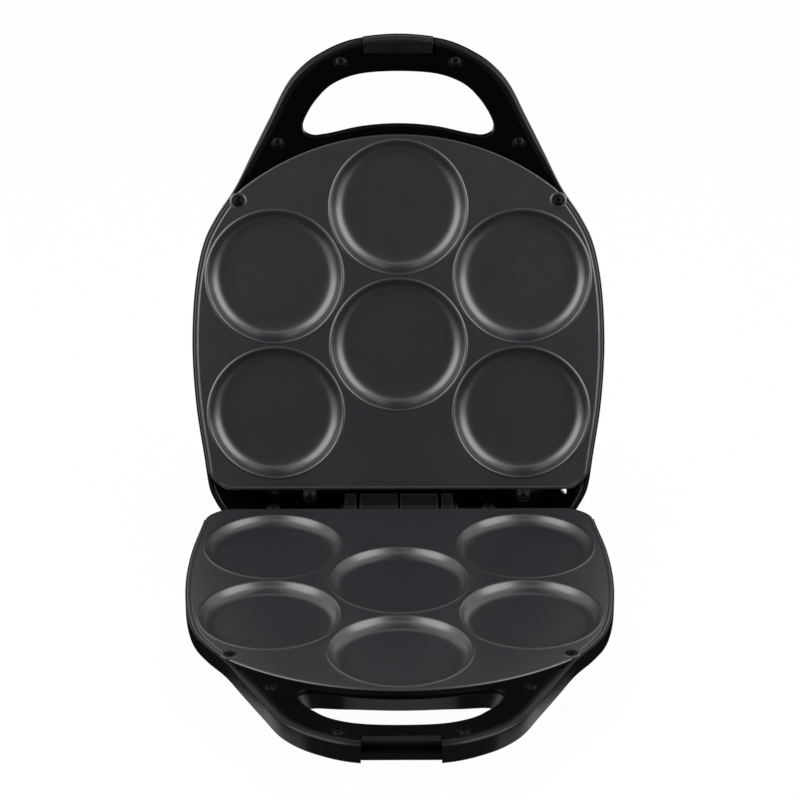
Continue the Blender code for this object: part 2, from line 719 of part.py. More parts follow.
def make_plate(name, frame):
    plate = add(name, plate_mesh(), "coating", frame)
    cup = turned_mesh("cup", [(well_rim_radius + well_lip, plate_under - plate_thickness / 2),
                              (well_rim_radius + well_lip, plate_under + well_lip),
                              (well_floor_radius + well_wall, well_under - well_lip),
                              (well_floor_radius, well_under)], 28)
    run_out = well_rim_radius - well_floor_radius
    dish = turned_mesh("dish", [(well_rim_radius + well_lip / 2, plate_u - well_lip / 2)]
                       + [(well_rim_radius - out * run_out, plate_u + down * well_depth)
                          for out, down in well_shares], 28)
    cut(plate, tool(name + " cups", join_meshes("cups", [(cup, (x, d, 0)) for x, d in wells]), frame), 'UNION')
    tab = box_mesh("tab", (-tab_width / 2, tab_width / 2), (plate_back - tab_reach, plate_back + tab_width),
                   (tab_u - tab_thickness, tab_u))
    tabs = [(tab, (x, 0, 0)) for x, d in tab_screws]
    cut(plate, tool(name + " tabs", join_meshes("tabs", tabs), frame), 'UNION')
    cut(plate, tool(name + " dishes", join_meshes("dishes", [(dish, (x, d, 0)) for x, d in wells]), frame))
    sink = turned_mesh("sink", sunk_hole(plate_u, plate_under), 14)
    tab_hole = turned_mesh("tab hole", [(screw_radius + seat_gap, plate_u - overrun),
                                        (screw_radius + seat_gap, tab_u + overrun)], 10)
    holes = [(sink, (x, d, 0)) for x, d in plate_screws] + [(tab_hole, (x, d, 0)) for x, d in tab_screws]
    cut(plate, tool(name + " screw holes", join_meshes("plate screw holes", holes), frame))
    return plate


def sunk_hole(top, under):
    """Profile of a through hole with a wider sink for the screw's head."""
    wide, narrow = screw_head_radius + seat_gap, screw_radius + seat_gap
    return [(wide, top - overrun), (wide, top + cover_sink), (narrow, top + cover_sink),
            (narrow, under + overrun)]


# Handle covers

def make_cover(name, frame):
    cover = add(name, prism_mesh(name, cover_outline(), rim_u, cover_under), "plastic", frame)
    cut(cover, tool(name + " slot", prism_mesh("cover slot", slot, -overrun, cover_under + overrun), frame))
    half = latch_bay_width / 2 + seat_gap
    cut(cover, tool(name + " bay", box_mesh("cover bay", (-half, half), (bay_back - seat_gap, tip + overrun),
                                            (-overrun, cover_under + overrun)), frame))
    sink = turned_mesh("cover sink", sunk_hole(rim_u, cover_under), 14)
    holes = [(sink, (x, d, 0)) for x, d in cover_screws]
    cut(cover, tool(name + " screw holes", join_meshes("cover screw holes", holes), frame))
    return cover


# Screws: head and shank turned as one, with the head's top at u = 0

def screw_mesh(name, length):
    return turned_mesh(name, [(screw_head_radius * 0.8, 0), (screw_head_radius, screw_head_height * 0.4),
                              (screw_head_radius, screw_head_height), (screw_radius, screw_head_height),
                              (screw_radius, screw_head_height + length - screw_radius),
                              (screw_radius * 0.4, screw_head_height + length)], 10)


def make_screws(half, frame):
    cover_mesh = screw_mesh("cover screw", cover_screw_length)
    plate_mesh_long = screw_mesh("plate screw", plate_screw_length)
    head_u = cover_sink - screw_head_height - seat_gap
    for k, (x, d) in enumerate(cover_screws):
        add(f"{half}_handle_screw_{k + 1}", cover_mesh, "black steel", frame, (x, d, rim_u + head_u))
    for k, (x, d) in enumerate(plate_screws):
        add(f"{half}_plate_screw_{k + 1}", plate_mesh_long, "steel", frame, (x, d, plate_u + head_u))
    for k, (x, d) in enumerate(tab_screws):
        top = tab_u - tab_thickness - screw_head_height - seat_gap
        add(f"{half}_tab_screw_{k + 1}", plate_mesh_long, "steel", frame, (x, d, top))


# Heating parts

def element_path():
    """An open loop under the wells: a rounded rectangle with its two leads at the back."""
    centre, reach = first_row + 1.5 * row_step, 1.5 * row_step + well_floor_radius * 0.12
    points = []
    for k in range(31):
        a = radians(-72 + 324 * k / 30)
        x = column * abs(cos(a)) ** 0.5 * (1 if cos(a) > 0 else -1)
        points.append((x, centre + reach * abs(sin(a)) ** 0.5 * (1 if sin(a) > 0 else -1)))
    leads = [(element_lead_x, element_lead_d), (element_lead_x, (element_lead_d + first_row) / 2)]
    return leads + points + [(-x, d) for x, d in reversed(leads)]


def tube(name, points, radius, finish, frame, resolution=2):
    curve = bpy.data.curves.new(name, 'CURVE')
    curve.dimensions = '3D'
    curve.bevel_depth = radius
    curve.bevel_resolution = resolution
    curve.use_fill_caps = True
    line = curve.splines.new('POLY')
    line.points.add(len(points) - 1)
    for point, (x, d, u) in zip(line.points, points):
        point.co = (x, -d, -u, 1)
    curve.materials.append(material(finish))
    item = bpy.data.objects.new(name, curve)
    bpy.context.collection.objects.link(item)
    item.parent = frame
    return item


def reflector_ring(share, u, wall_thickness=0):
    curve, middle = plate_outline(), (plate_back + plate_front) / 2
    scaled = np.stack([curve[:, 0] * share, middle + (curve[:, 1] - middle) * share], 1)
    return [(x, d, u) for x, d in inset(scaled, wall_thickness)]


def make_heating(half, depth, frame):
    route = [(x, d, element_u) for x, d in element_path()]
    tube(f"{half}_heating_element", route, element_radius, "black steel", frame)
    inner, outer = element_radius + seat_gap, element_radius + seat_gap + clip_strip
    low, deep = well_under + seat_gap, element_u + element_radius + seat_gap
    strip = [(-outer - clip_foot, low), (-outer - clip_foot, low + clip_strip), (-outer, low + clip_strip),
             (-outer, deep + clip_strip), (outer, deep + clip_strip), (outer, low + clip_strip),
             (outer + clip_foot, low + clip_strip), (outer + clip_foot, low), (inner, low), (inner, deep),
             (-inner, deep), (-inner, low)]
    middle = first_row + 1.5 * row_step
    for k, side in enumerate((-1, 1)):
        rings = [[(side * column + x, d, u) for x, u in strip]
                 for d in (middle - clip_length / 2, middle + clip_length / 2)]
        add(f"{half}_element_clip_{k + 1}", ring_mesh("element clip", rings), "steel", frame)
    deep, front = [shares[0] * depth for shares in dome_shares], [shares[2] for shares in dome_shares]
    small, large = (share * float(np.interp(reflector_under, deep, front)) for share in reflector_shares)
    rim_top = reflector_top - reflector_rim
    rings = [reflector_ring(small, reflector_under), reflector_ring(large, rim_top),
             reflector_ring(large, rim_top, reflector_thickness),
             reflector_ring(small, reflector_top, reflector_thickness)]
    add(f"{half}_reflector", ring_mesh("reflector", rings), "aluminium", frame)
    top = plate_under + seat_gap
    body = turned_mesh("thermostat", [(thermostat_radius + thermostat_flange, top),
                                      (thermostat_radius + thermostat_flange, top + thermostat_flange),
                                      (thermostat_radius, top + thermostat_flange),
                                      (thermostat_radius, top + thermostat_height)], 24)
    thermostat = add(f"{half}_thermostat", body, "ceramic", frame, (0, thermostat_d, 0))
    blades = []
    for side in (-1, 1):
        x = sorted((side * (thermostat_radius - blade_length), side * (thermostat_radius + blade_length)))
        blades.append((box_mesh("blade", x, (-blade_width / 2, blade_width / 2),
                                (top + thermostat_height - 3 * blade_thickness,
                                 top + thermostat_height - 2 * blade_thickness)), (0, 0, 0)))
    cut(thermostat, tool(f"{half} blades", join_meshes("blades", blades), frame, (0, thermostat_d, 0)), 'UNION')


def make_base_electrics(frame):
    fuse = turned_mesh("fuse", [(fuse_radius * 0.5, -fuse_length / 2 - fuse_radius),
                                (fuse_radius, -fuse_length / 2), (fuse_radius, fuse_length / 2),
                                (fuse_radius * 0.5, fuse_length / 2 + fuse_radius)], 12, "x")
    place = (0, thermostat_d - fuse_offset, plate_under + seat_gap + fuse_radius)
    add("thermal_fuse", fuse, "steel", frame, place)
    floor = base_floor - seat_gap
    block = box_mesh("terminal block", (-terminal_length / 2, terminal_length / 2),
                     (-terminal_width / 2, terminal_width / 2), (-terminal_height, 0))
    terminal = add("terminal_block", block, "ceramic", frame, (terminal_x, terminal_d, floor))
    socket = hole("terminal hole", lead_radius + slip_gap, -terminal_height - overrun, -terminal_height / 3,
                  segments=12)
    spots = [(socket, (side * terminal_length / 4, 0, 0)) for side in (-1, 1)]
    cut(terminal, tool("terminal holes", join_meshes("terminal holes", spots), frame,
                       (terminal_x, terminal_d, floor)))
    for name, side, finish in (("live_lead", 1, "red lead"), ("neutral_lead", -1, "blue lead")):
        start = (side * element_lead_x, element_lead_d - 2 * seat_gap, element_u)
        end = (terminal_x + side * terminal_length / 4, terminal_d, floor - terminal_height / 3 - seat_gap)
        tube(name, lead_path(start, end, side), lead_radius, finish, frame)
    inner, outer = base_floor - seat_gap, base_shell_depth + seat_gap
    top, under = inner - gland_flange_thickness, outer + gland_flange_thickness
    collar = (3 * gland_neck + gland_flange) / 4
    gland = turned_mesh("gland", [(gland_bore, top), (collar, top), (collar, inner), (gland_neck, inner),
                                  (gland_neck, outer), (gland_flange, outer), (gland_flange, under),
                                  (gland_bore, under)], 20)
    item = add("cord_gland", gland, "rubber", frame, (gland_x, gland_d, 0))
    bore = hole("cord_gland bore", gland_bore - seat_gap, top - overrun, under + overrun, segments=20)
    cut(item, tool("cord_gland bore", bore, frame, (gland_x, gland_d, 0)))


def lead_path(start, end, side):
    """A lead that drops from an element's end under the reflector's back edge and into the terminal block."""
    low = element_u + (end[2] - element_u) * lead_drop_shares[side > 0]
    over = reflector_under + terminal_gap / 2
    route = [start, (start[0], start[1] - 3 * lead_radius, start[2]),
             (start[0] + 2 * lead_radius, plate_back, low - 3 * lead_radius),
             ((start[0] + end[0]) / 2, plate_back - 2 * lead_radius + side * 2 * lead_radius, low),
             (end[0], (plate_back + end[1]) / 2, over), (end[0], end[1] - lead_radius, over),
             (end[0], end[1], end[2] - terminal_height * 2 / 3),
             (end[0], end[1], end[2] - terminal_height / 3), end]
    path = np.array(route)
    padded = np.vstack([2 * path[0] - path[1], path, 2 * path[-1] - path[-2]])
    points = []
    for k in range(len(path) - 1):
        a, b, c, d = padded[k:k + 4]
        for step in range(3):
            t = step / 3
            points.append(0.5 * (2 * b + (c - a) * t + (2 * a - 5 * b + 4 * c - d) * t ** 2
                                 + (3 * b - a - 3 * c + d) * t ** 3))
    return [tuple(p) for p in points] + [tuple(path[-1])]


# Hinge pin, feet, lamps and latch

def make_hinge(frame):
    right = ear[1] + seat_gap
    left = -ear[1] - 2 * clip_thickness - seat_gap
    pin = turned_mesh("hinge pin", [(pin_radius * 0.8, left), (pin_radius, left + pin_radius * 0.2),
                                    (pin_radius, right), (pin_head_radius, right),
                                    (pin_head_radius, right + pin_head_length * 0.7),
                                    (pin_head_radius * 0.8, right + pin_head_length)], 24, "x")
    add("hinge_pin", pin, "steel", frame, (0, 0, parting_height))
    start = -ear[1] - seat_gap - clip_thickness
    clip = turned_mesh("clip", [(clip_radius, start), (clip_radius, start + clip_thickness)], 20, "x")
    item = add("hinge_pin_clip", clip, "steel", frame, (0, 0, parting_height))
    bore = hole("clip bore", pin_radius + pin_clearance, start - overrun, start + clip_thickness + overrun,
                "x", 24)
    cut(item, tool("hinge_pin_clip bore", bore, frame, (0, 0, parting_height)))


def make_feet(frame):
    top = foot_bottom - foot_pad
    profile = [(foot_stem_radius, top - foot_stem_height + 2 * seat_gap), (foot_stem_radius, top),
               (foot_radius, top), (foot_radius, foot_bottom - foot_pad * 0.25),
               (foot_radius - foot_pad * 0.25, foot_bottom)]
    mesh = turned_mesh("foot", profile, 20)
    for k, (x, d) in enumerate(feet):
        add(f"foot_{k + 1}", mesh, "rubber", frame, (x, d, 0))


def make_lamps(frame):
    top = lid_shell_depth + lens_stand
    inner = lid_shell_depth - wall - seat_gap
    profile = [(lens_radius * 0.6, top), (lens_radius, top - lens_stand), (lens_radius, inner),
               (lens_flange, inner), (lens_flange, inner - wall / 2), (lens_radius, inner - wall / 2),
               (lens_radius, top - lens_length), (lens_bore, top - lens_length)]
    lens = turned_mesh("lens", profile + [(lens_bore, top - 2 * lens_stand)], 16)
    lamp = turned_mesh("lamp", [(lamp_radius * 0.6, top - 2 * lens_stand - seat_gap),
                                (lamp_radius, top - 2 * lens_stand - seat_gap - lamp_radius * 0.4),
                                (lamp_radius, top - 2 * lens_stand - seat_gap - lamp_length)], 12)
    for name, side, finish in (("power_light", 1, "red lens"), ("ready_light", -1, "green lens")):
        mesh = lens if side > 0 else lens.copy()
        mesh.materials.clear()
        add(name + "_lens", mesh, finish, frame, (side * lens_x, lens_d, 0))
        add(name + "_lamp", lamp, "lamp glass", frame, (side * lens_x, lens_d, 0))


def latch_profile():
    """Section of the clip in d and u: an eye round its pin, a leg past the rim and a barb inwards."""
    face = tip + overrun
    inner = bay_line - latch_leg
    low = -(ledge_under + seat_gap)
    back = pivot_d - latch_eye_radius
    return [(face, latch_top), (back, latch_top), (back, latch_pivot_height - latch_eye_radius),
            (inner, latch_pivot_height - latch_eye_radius), (inner, low), (inner - latch_barb, low - seat_gap),
            (inner - latch_barb, low - latch_barb_height * 0.6), (inner, low - latch_barb_height),
            (face, low - latch_barb_height)]


def make_latch(frame):
    axis = bpy.data.objects.new("latch_axis", None)
    bpy.context.collection.objects.link(axis)
    axis.parent = frame
    axis.location = (0, -pivot_d, -latch_pivot_height)
    place = (0, -pivot_d, -latch_pivot_height)
    half = latch_width / 2
    latch = add("latch", profile_mesh("latch", latch_profile(), -half, half), "plastic", axis, place)
    skin = ring_mesh("latch skin", [[(x, d, u) for x, d in inset(outline, seat_gap / 2)]
                                    for u in (-latch_bay_depth, latch_bay_depth + overrun)])
    cut(latch, tool("latch skin", skin, axis, place), 'INTERSECT')
    bore = hole("latch bore", latch_pin_radius + pin_clearance, -half - overrun, half + overrun, "x", 12)
    cut(latch, tool("latch bore", bore, axis))
    reach = latch_bay_width / 2 + latch_lug_width
    pin = turned_mesh("latch pin", [(latch_pin_radius, -reach), (latch_pin_radius, reach)], 12, "x")
    add("latch_pin", pin, "steel", frame, (0, pivot_d, latch_pivot_height))


clear_scene()
base_frame, lid_frame = make_frames()
base_housing = make_housing("base_housing", base_shell_depth, base_frame, parting_height)
finish_base_housing(base_housing, base_frame)
lid_housing = make_housing("lid_housing", lid_shell_depth, lid_frame, -parting_height)
finish_lid_housing(lid_housing, lid_frame)
for half, depth, frame in (("base", base_shell_depth, base_frame), ("lid", lid_shell_depth, lid_frame)):
    make_plate(half + "_plate", frame)
    make_cover(half + "_handle_cover", frame)
    make_screws(half, frame)
    make_heating(half, depth, frame)
make_base_electrics(base_frame)
make_hinge(base_frame)
make_feet(base_frame)
make_lamps(lid_frame)
make_latch(lid_frame)
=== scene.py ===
import json
import math
import bpy
import bmesh
import numpy as np
from mathutils import Matrix


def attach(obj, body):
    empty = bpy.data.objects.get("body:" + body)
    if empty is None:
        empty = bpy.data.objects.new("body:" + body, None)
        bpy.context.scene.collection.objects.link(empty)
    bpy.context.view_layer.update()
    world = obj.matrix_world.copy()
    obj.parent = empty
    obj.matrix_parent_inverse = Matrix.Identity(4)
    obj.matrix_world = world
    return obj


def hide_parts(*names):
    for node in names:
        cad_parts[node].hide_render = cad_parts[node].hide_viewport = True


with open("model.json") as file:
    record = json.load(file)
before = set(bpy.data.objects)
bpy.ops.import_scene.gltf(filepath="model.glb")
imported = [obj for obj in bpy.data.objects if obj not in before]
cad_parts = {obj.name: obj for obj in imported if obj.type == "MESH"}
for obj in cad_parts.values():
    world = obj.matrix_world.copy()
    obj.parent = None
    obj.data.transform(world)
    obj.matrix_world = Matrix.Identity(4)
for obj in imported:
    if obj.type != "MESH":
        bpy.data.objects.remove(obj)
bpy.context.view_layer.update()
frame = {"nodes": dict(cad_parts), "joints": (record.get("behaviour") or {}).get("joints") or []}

# Mini pancake maker, standing open: smooth shells, cast plates, handle covers, latch, hinge and screws.
# Both halves share one set of coordinates in millimetres: x sideways, d forward from the hinge axis to
# the handle, u away from the plane in which the halves meet. place() turns them into the frame's metres.

joints = {joint["name"]: joint for joint in frame["joints"]}
hingePoint = np.array(joints["lid_hinge"]["pos_m"]) * 1000
opening = math.radians(joints["lid_hinge"]["range_deg"][1])

halves = ("base", "lid")
levels = {                 # heights in u
    "parting": 6.42,       # from the hinge axis to the meeting plane
    "plate": 0.75, "rim": 1.25,                 # the plates' faces, and those of the rims and handle covers
    "coverUnder": 3.25, "coverSeat": 3.55,      # the covers' undersides, and what they lie on
    "skirtBack": 7.0, "skirtFront": {"base": 12.9, "lid": 10.2},    # the sides' lower edge, back and front
    "base": 33.75, "lid": 40.0,                 # the flats of the two shells
    "clear": -3,           # above every face: where the cutters start
}

print("curves")


def smoothCurve(points, steps, closed=True):
    # Cubic curve through a list of points: each span leaves and arrives along slopes that its neighbours
    # set, weighted by the square roots of their lengths, and takes so many steps.
    points = np.array(points, float)
    if not closed:
        points = np.vstack([2 * points[0] - points[1], points, 2 * points[-1] - points[-2]])
    before, after, beyond = np.roll(points, 1, 0), np.roll(points, -1, 0), np.roll(points, -2, 0)
    gap = np.sqrt(np.linalg.norm(after - points, axis=1))[:, None]
    last, following = np.roll(gap, 1, 0), np.roll(gap, -1, 0)
    leave = gap * ((points - before) / last - (after - before) / (last + gap)) + after - points
    arrive = after - points + gap * ((beyond - after) / following - (beyond - points) / (gap + following))
    t = (np.arange(steps) / steps)[None, :, None]
    points, after, leave, arrive = (a[:, None, :] for a in (points, after, leave, arrive))
    curve = points + leave * t + (3 * (after - points) - 2 * leave - arrive) * t ** 2 \
        + (2 * (points - after) + leave + arrive) * t ** 3
    if not closed:
        return np.vstack([curve[1:-2].reshape(-1, curve.shape[-1]), points[-2]])
    return curve.reshape(-1, curve.shape[-1])


def inset(curve, distance):
    # Moves each point of an anticlockwise loop inwards along the bisector of its two edges, by the distance
    # over the cosine of half the turn there, which 0.6 limits at sharp corners.
    forward = np.roll(curve, -1, 0) - curve
    forward = forward / np.linalg.norm(forward, axis=1)[:, None]
    backward = np.roll(forward, 1, 0)
    normal = np.stack([-(forward + backward)[:, 1], (forward + backward)[:, 0]], 1)
    normal = normal / np.linalg.norm(normal, axis=1)[:, None]
    lean = (normal * np.stack([-forward[:, 1], forward[:, 0]], 1)).sum(1)
    return curve + normal * (distance / np.maximum(lean, 0.6))[:, None]


def soften(curve, times):
    # Each point moves to the weighted mean of itself and its two neighbours, which rounds the corners.
    for _ in range(times):
        curve = curve / 2 + (np.roll(curve, 1, 0) + np.roll(curve, -1, 0)) / 4
    return curve


def rounded(corners, radius, steps=5):
    # Swaps each corner of a loop for a parabola that touches both of its edges a radius from the corner,
    # or 0.45 of a short edge.
    corners = np.array(corners, float)
    back, ahead = np.roll(corners, 1, 0) - corners, np.roll(corners, -1, 0) - corners
    reach = np.minimum(radius, np.minimum(np.hypot(*back.T), np.hypot(*ahead.T)) * 0.45)[:, None]
    start = corners + back / np.hypot(*back.T)[:, None] * reach
    end = corners + ahead / np.hypot(*ahead.T)[:, None] * reach
    t = np.linspace(0, 1, steps)[None, :, None]
    start, middle, end = (a[:, None, :] for a in (start, corners, end))
    return (start * (1 - t) ** 2 + 2 * middle * t * (1 - t) + end * t ** 2).reshape(-1, 2)


def mirrored(right):
    # Closes a right-hand list that runs from back to front with its mirror image.
    return list(right) + [(-x, d) for x, d in reversed(list(right)) if x > 0.1]


def sideAt(d, curve):
    # Half width of a loop at a distance d, on the right.
    right = curve[curve[:, 0] > 0]
    right = right[np.argsort(right[:, 1])]
    return float(np.interp(d, right[:, 1], right[:, 0]))


body = {                   # plan of a half, from the back corner round the right side to the handle's tip
    "outline": [(79.015, -12.0), (90.466, -11.16), (97.337, -6.0), (100.2, -2.04), (103.635, 4.028),
                (106.04, 9.964), (109.017, 29.892), (113.025, 59.996), (114.514, 94.976),
                (111.995, 129.956), (107.013, 152.004), (99.971, 165.996), (90.008, 181.048),
                (80.045, 200.976), (69.968, 221.022), (60.005, 239.978), (50.043, 250.503),
                (39.965, 257.001), (30.003, 261.511), (20.04, 263.982), (0.0, 265.7)],
    "slot": [(0.0, 216.8), (20.055, 215.31), (40.057, 211.085), (47.09, 210.598), (51.413, 213.0),
             (52.09, 217.013), (50.111, 222.5), (45.058, 230.997), (38.078, 238.506), (30.056, 243.005),
             (20.055, 245.893), (0.0, 247.2)],
    "tip": 265.7,
    "rimGap": 2.3, "rimMore": 1.4,                   # the rim's breadth, and what the handle adds to it
    "rimRound": 0.5, "rimSwell": 3.4,                # its rounding, and by what share the handle's is larger
    "handleFrom": 185, "handleOver": 25,             # d where the handle's rim begins, and how long it grows
    "skirtRound": 0.8, "wall": 2.2, "sideWall": 2.0, "innerRound": 1.2,
    "arcRadius": 137.989, "arcCentre": 74.011,       # the plate's front edge
    "domeInset": 1.5, "domeCentre": 100.064,
    "topRound": [(0, 0.5), (0.7, 0.14), (1.7, 0)],   # the dome's top edge: in from its side, down
    # depth, side, front and back shares of the dome's rings
    "dome": [(0.080, 1.000, 1.000, 1.00), (0.260, 1.000, 1.000, 1.00), (0.478, 0.973, 0.925, 1.00),
             (0.689, 0.920, 0.796, 1.00), (0.867, 0.848, 0.673, 0.99), (0.964, 0.786, 0.584, 0.97),
             (1.000, 0.732, 0.504, 0.946)],
}
screws = {                 # places (x, d) and sizes
    "cover": [(-66.09, 207.5), (66.09, 207.5), (-31.254, 252.0), (31.254, 252.0)],
    "plate": [(-87.957, 175.087), (87.957, 175.087)],
    "tab": [(-70.0, 5.9), (50.0, 5.9)],
    "head": 2.9, "headHeight": 1.0, "shank": 1.2, "coverLength": 6.2, "plateLength": 8.5,
    "crown": [(1.0, 0), (1.7, 0.06), (2.3, 0.2), (2.7, 0.42)], "crownEdge": 0.72,
    "crossReach": 1.65, "crossWidth": 0.36, "crossDepth": 0.75,
    "hole": 1.5, "sinkDepth": 1.3, "sinkRadius": 3.2,
}
hinge = {                  # spans in x, radii
    "barrel": (-21.9, -0.6), "ear": (23.6, 30.3), "knuckle": 9.2, "knuckleRound": (0.7, 0.2),
    "pin": 2.6, "pinHead": 4.6, "bore": 2.8,
}
latch = {                  # pivot (d, u), then distances
    "pivot": (258.785, 6.0), "bore": 1.45, "eye": 3.0, "width": 38.5, "top": 8.8, "edge": 262.985,
    "bayBack": 255.785, "bayGap": 0.3,
    "barb": [(0, -3.4), (-1.1, -3.7), (-1.1, -4.6), (0, -5.4)],     # ahead of the edge, level
    "skin": 0.15,          # behind the handle's outline
    "bulge": [(0, 1.0), (0.3, 1.3), (0.7, 2.0), (0.95, 3.0), (0.95, 7.0), (0.7, 8.2), (0.3, 8.8), (0.3, 12)],
    "arch": 257.4, "archRise": 1.4, "lip": 0.7, "lipLevel": 2.95, "lipAhead": 0.5,
}
lens = {
    "places": {"power_light": (13, 139.98), "ready_light": (-13, 139.98)},
    "hole": [(4.2, 35.6), (4.2, 43)],
}
feet = [(-58.0, 134.0), (58.0, 134.0), (-62.0, 6.0), (62.0, 6.0)]
wells = {
    "places": [(-68.414, 54.3), (68.414, 54.3), (0, 93.2), (-68.414, 132.1), (68.414, 132.1), (0, 171.0)],
    # radius and depth below the plate's face: bead that rings a well, then its side and floor
    "bead": [(38.75, 0.6), (38.75, 0.0), (38.5, -0.05), (38.2, -0.17), (37.9, -0.26), (37.6, -0.3),
             (20, -0.3)],
    "profile": [(37.5, -1.0), (37.5, -0.3), (37.25, -0.24), (37.0, -0.08), (36.8, 0.12), (36.6, 0.42),
                (36.35, 0.8), (36.0, 1.35), (35.6, 2.0), (35.05, 2.75), (34.4, 3.45), (33.6, 4.1),
                (32.7, 4.62), (31.7, 5.0), (30.7, 5.24), (29.6, 5.38), (28.2, 5.47), (26.4, 5.53),
                (24.2, 5.57), (21.5, 5.6)],
    "under": [(38.3, 2.25), (38.3, 4.2), (37.9, 4.8), (36.6, 5.6), (33.5, 7.5), (31.6, 8.3), (30.4, 8.8),
              (29.0, 8.95)],
}
outline = smoothCurve(mirrored(body["outline"]), 6)
slot = smoothCurve(body["slot"] + [(-x, d) for x, d in reversed(body["slot"][1:-1])], 8)


def withinArc(curve, radius):
    # Points ahead of an arc round the plate's front slide back onto it, towards the arc's centre.
    reach = np.hypot(curve[:, 0], curve[:, 1] - body["arcCentre"])
    pull = np.where((reach > radius) & (curve[:, 1] > body["arcCentre"]), radius / reach, 1)
    return np.stack([curve[:, 0] * pull, body["arcCentre"] + (curve[:, 1] - body["arcCentre"]) * pull], 1)


def skirtLevel(d, half):
    # The skirt's lower edge lies in a plane that tilts down towards the handle's tip.
    return levels["skirtBack"] + (levels["skirtFront"][half] - levels["skirtBack"]) * d / body["tip"]


def handleShare(d):
    # 0 along the body, rising to 1 round the handle, where the rim is broader and softer.
    return np.clip((d - body["handleFrom"]) / body["handleOver"], 0, 1)


print("solids")


def band(rings):
    # Closed solid: quads between neighbouring rings of as many points each, and a flat face at both ends.
    rings = np.asarray(rings, float)
    m, n = rings.shape[:2]
    i, j = np.meshgrid(np.arange(m - 1), np.arange(n), indexing="ij")
    k = (j + 1) % n
    faces = np.stack([i * n + j, i * n + k, (i + 1) * n + k, (i + 1) * n + j], -1).reshape(-1, 4).tolist()
    return rings.reshape(-1, 3), faces + [list(range(n)), list(range((m - 1) * n, m * n))]


def raised(curve, u):
    # A flat loop given a height, which may differ from point to point.
    return np.column_stack([curve, np.broadcast_to(u, len(curve))])


def turned(profile, centre=(0, 0), segments=96, along="u"):
    # A profile of (radius, height) turned round an axis along u through (x, d), or along x through (d, u).
    a = np.arange(segments) * 2 * math.pi / segments
    radius, height = np.array(profile, float).T[:, :, None]
    one, two, third = centre[0] + radius * np.cos(a), centre[1] + radius * np.sin(a), height + 0 * a
    return band(np.stack([one, two, third] if along == "u" else [third, one, two], -1))


def carried(profile, low, high, edge=0.0):
    # A (d, u) profile carried across from x = low to x = high, its two ends bevelled by edge.
    profile = np.array(profile, float)
    area = np.cross(profile, np.roll(profile, -1, 0)).sum()
    profile = profile if area > 0 else profile[::-1]
    steps = [(low, edge), (low + edge, 0), (high - edge, 0), (high, edge)] if edge else [(low, 0), (high, 0)]
    return band([np.column_stack([np.full(len(profile), x), inset(profile, back) if back else profile])
                 for x, back in steps])


def block(x, d, u):
    # A box between two values each of x, d and u.
    return carried([(d[0], u[0]), (d[1], u[0]), (d[1], u[1]), (d[0], u[1])], x[0], x[1])


def joined(patches):
    # Several closed solids that don't touch, as one list of points and faces.
    starts = np.cumsum([0] + [len(points) for points, faces in patches])
    return (np.concatenate([points for points, faces in patches]),
            [[i + start for i in face] for start, (points, faces) in zip(starts, patches) for face in faces])


def rounding(radius, steps=5):
    # Quarter circle: how far in from the side and how far down from the face, from the face to the side.
    a = np.linspace(0, math.pi / 2, steps)
    return list(zip(radius - radius * np.sin(a), radius - radius * np.cos(a)))


def solid(name, patch):
    # An object from a list of points and faces, points that coincide merged and faces turned outwards.
    points, faces = patch
    mesh = bpy.data.meshes.new(name)
    mesh.from_pydata(points.tolist(), [], faces)
    work = bmesh.new()
    work.from_mesh(mesh)
    bmesh.ops.remove_doubles(work, verts=work.verts, dist=1e-5)
    bmesh.ops.recalc_face_normals(work, faces=work.faces)
    work.to_mesh(mesh)
    work.free()
    item = bpy.data.objects.new(name, mesh)
    bpy.context.scene.collection.objects.link(item)
    return item


def settle(item):
    # Runs the piece's modifiers and keeps the result as its own mesh.
    mesh = bpy.data.meshes.new_from_object(item.evaluated_get(bpy.context.evaluated_depsgraph_get()))
    item.modifiers.clear()
    item.data = mesh
    return item


def carve(item, operation, *tools):
    # Joins solids to a piece or cuts them out of it, one after the other.
    tools = [tool if isinstance(tool, bpy.types.Object) else solid(item.name + "Tool", tool)
             for tool in tools]
    for tool in tools:
        step = item.modifiers.new(tool.name, "BOOLEAN")
        step.operation, step.object, step.solver = operation, tool, "MANIFOLD"
    settle(item)
    for tool in tools:
        bpy.data.objects.remove(tool)
    return item


def toWorld(points, half):
    # Base: turned half a turn about x. Lid: the same shape turned over, then swung open about the hinge.
    x, d, u = np.moveaxis(np.asarray(points, float), -1, 0)
    y, z = -d, levels["parting"] - u
    if half == "lid":
        x, z = -x, levels["parting"] + u
        y, z = y * math.cos(opening) + z * math.sin(opening), z * math.cos(opening) - y * math.sin(opening)
    return np.stack([x, y + hingePoint[1], z + hingePoint[2]], -1) / 1000


def place(item, half, rides, material, nodes, angle=32):
    # Puts the finished piece into the frame, shades it by area and angle, and hands it to its body.
    points = np.empty(len(item.data.vertices) * 3)
    item.data.vertices.foreach_get("co", points)
    item.data.vertices.foreach_set("co", toWorld(points.reshape(-1, 3), half).ravel())
    item.data.update()
    item.data.shade_smooth()
    item.data.set_sharp_from_angle(angle=math.radians(angle))
    weighted = item.modifiers.new("weighted", "WEIGHTED_NORMAL")
    weighted.keep_sharp, weighted.weight = True, 80
    settle(item)
    item.data.materials.clear()
    item.data.materials.append(material)
    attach(item, rides)
    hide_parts(*nodes)
    return item


print("materials")


def linear(hexColour):
    # sRGB hex to linear light.
    c = np.array([int(hexColour[k:k + 2], 16) for k in (1, 3, 5)]) / 255
    return tuple(np.where(c <= 0.04045, c / 12.92, ((c + 0.055) / 1.055) ** 2.4)) + (1.0,)


drift, wear = 45, 7        # millimetres over which a colour drifts, and over which a gloss does


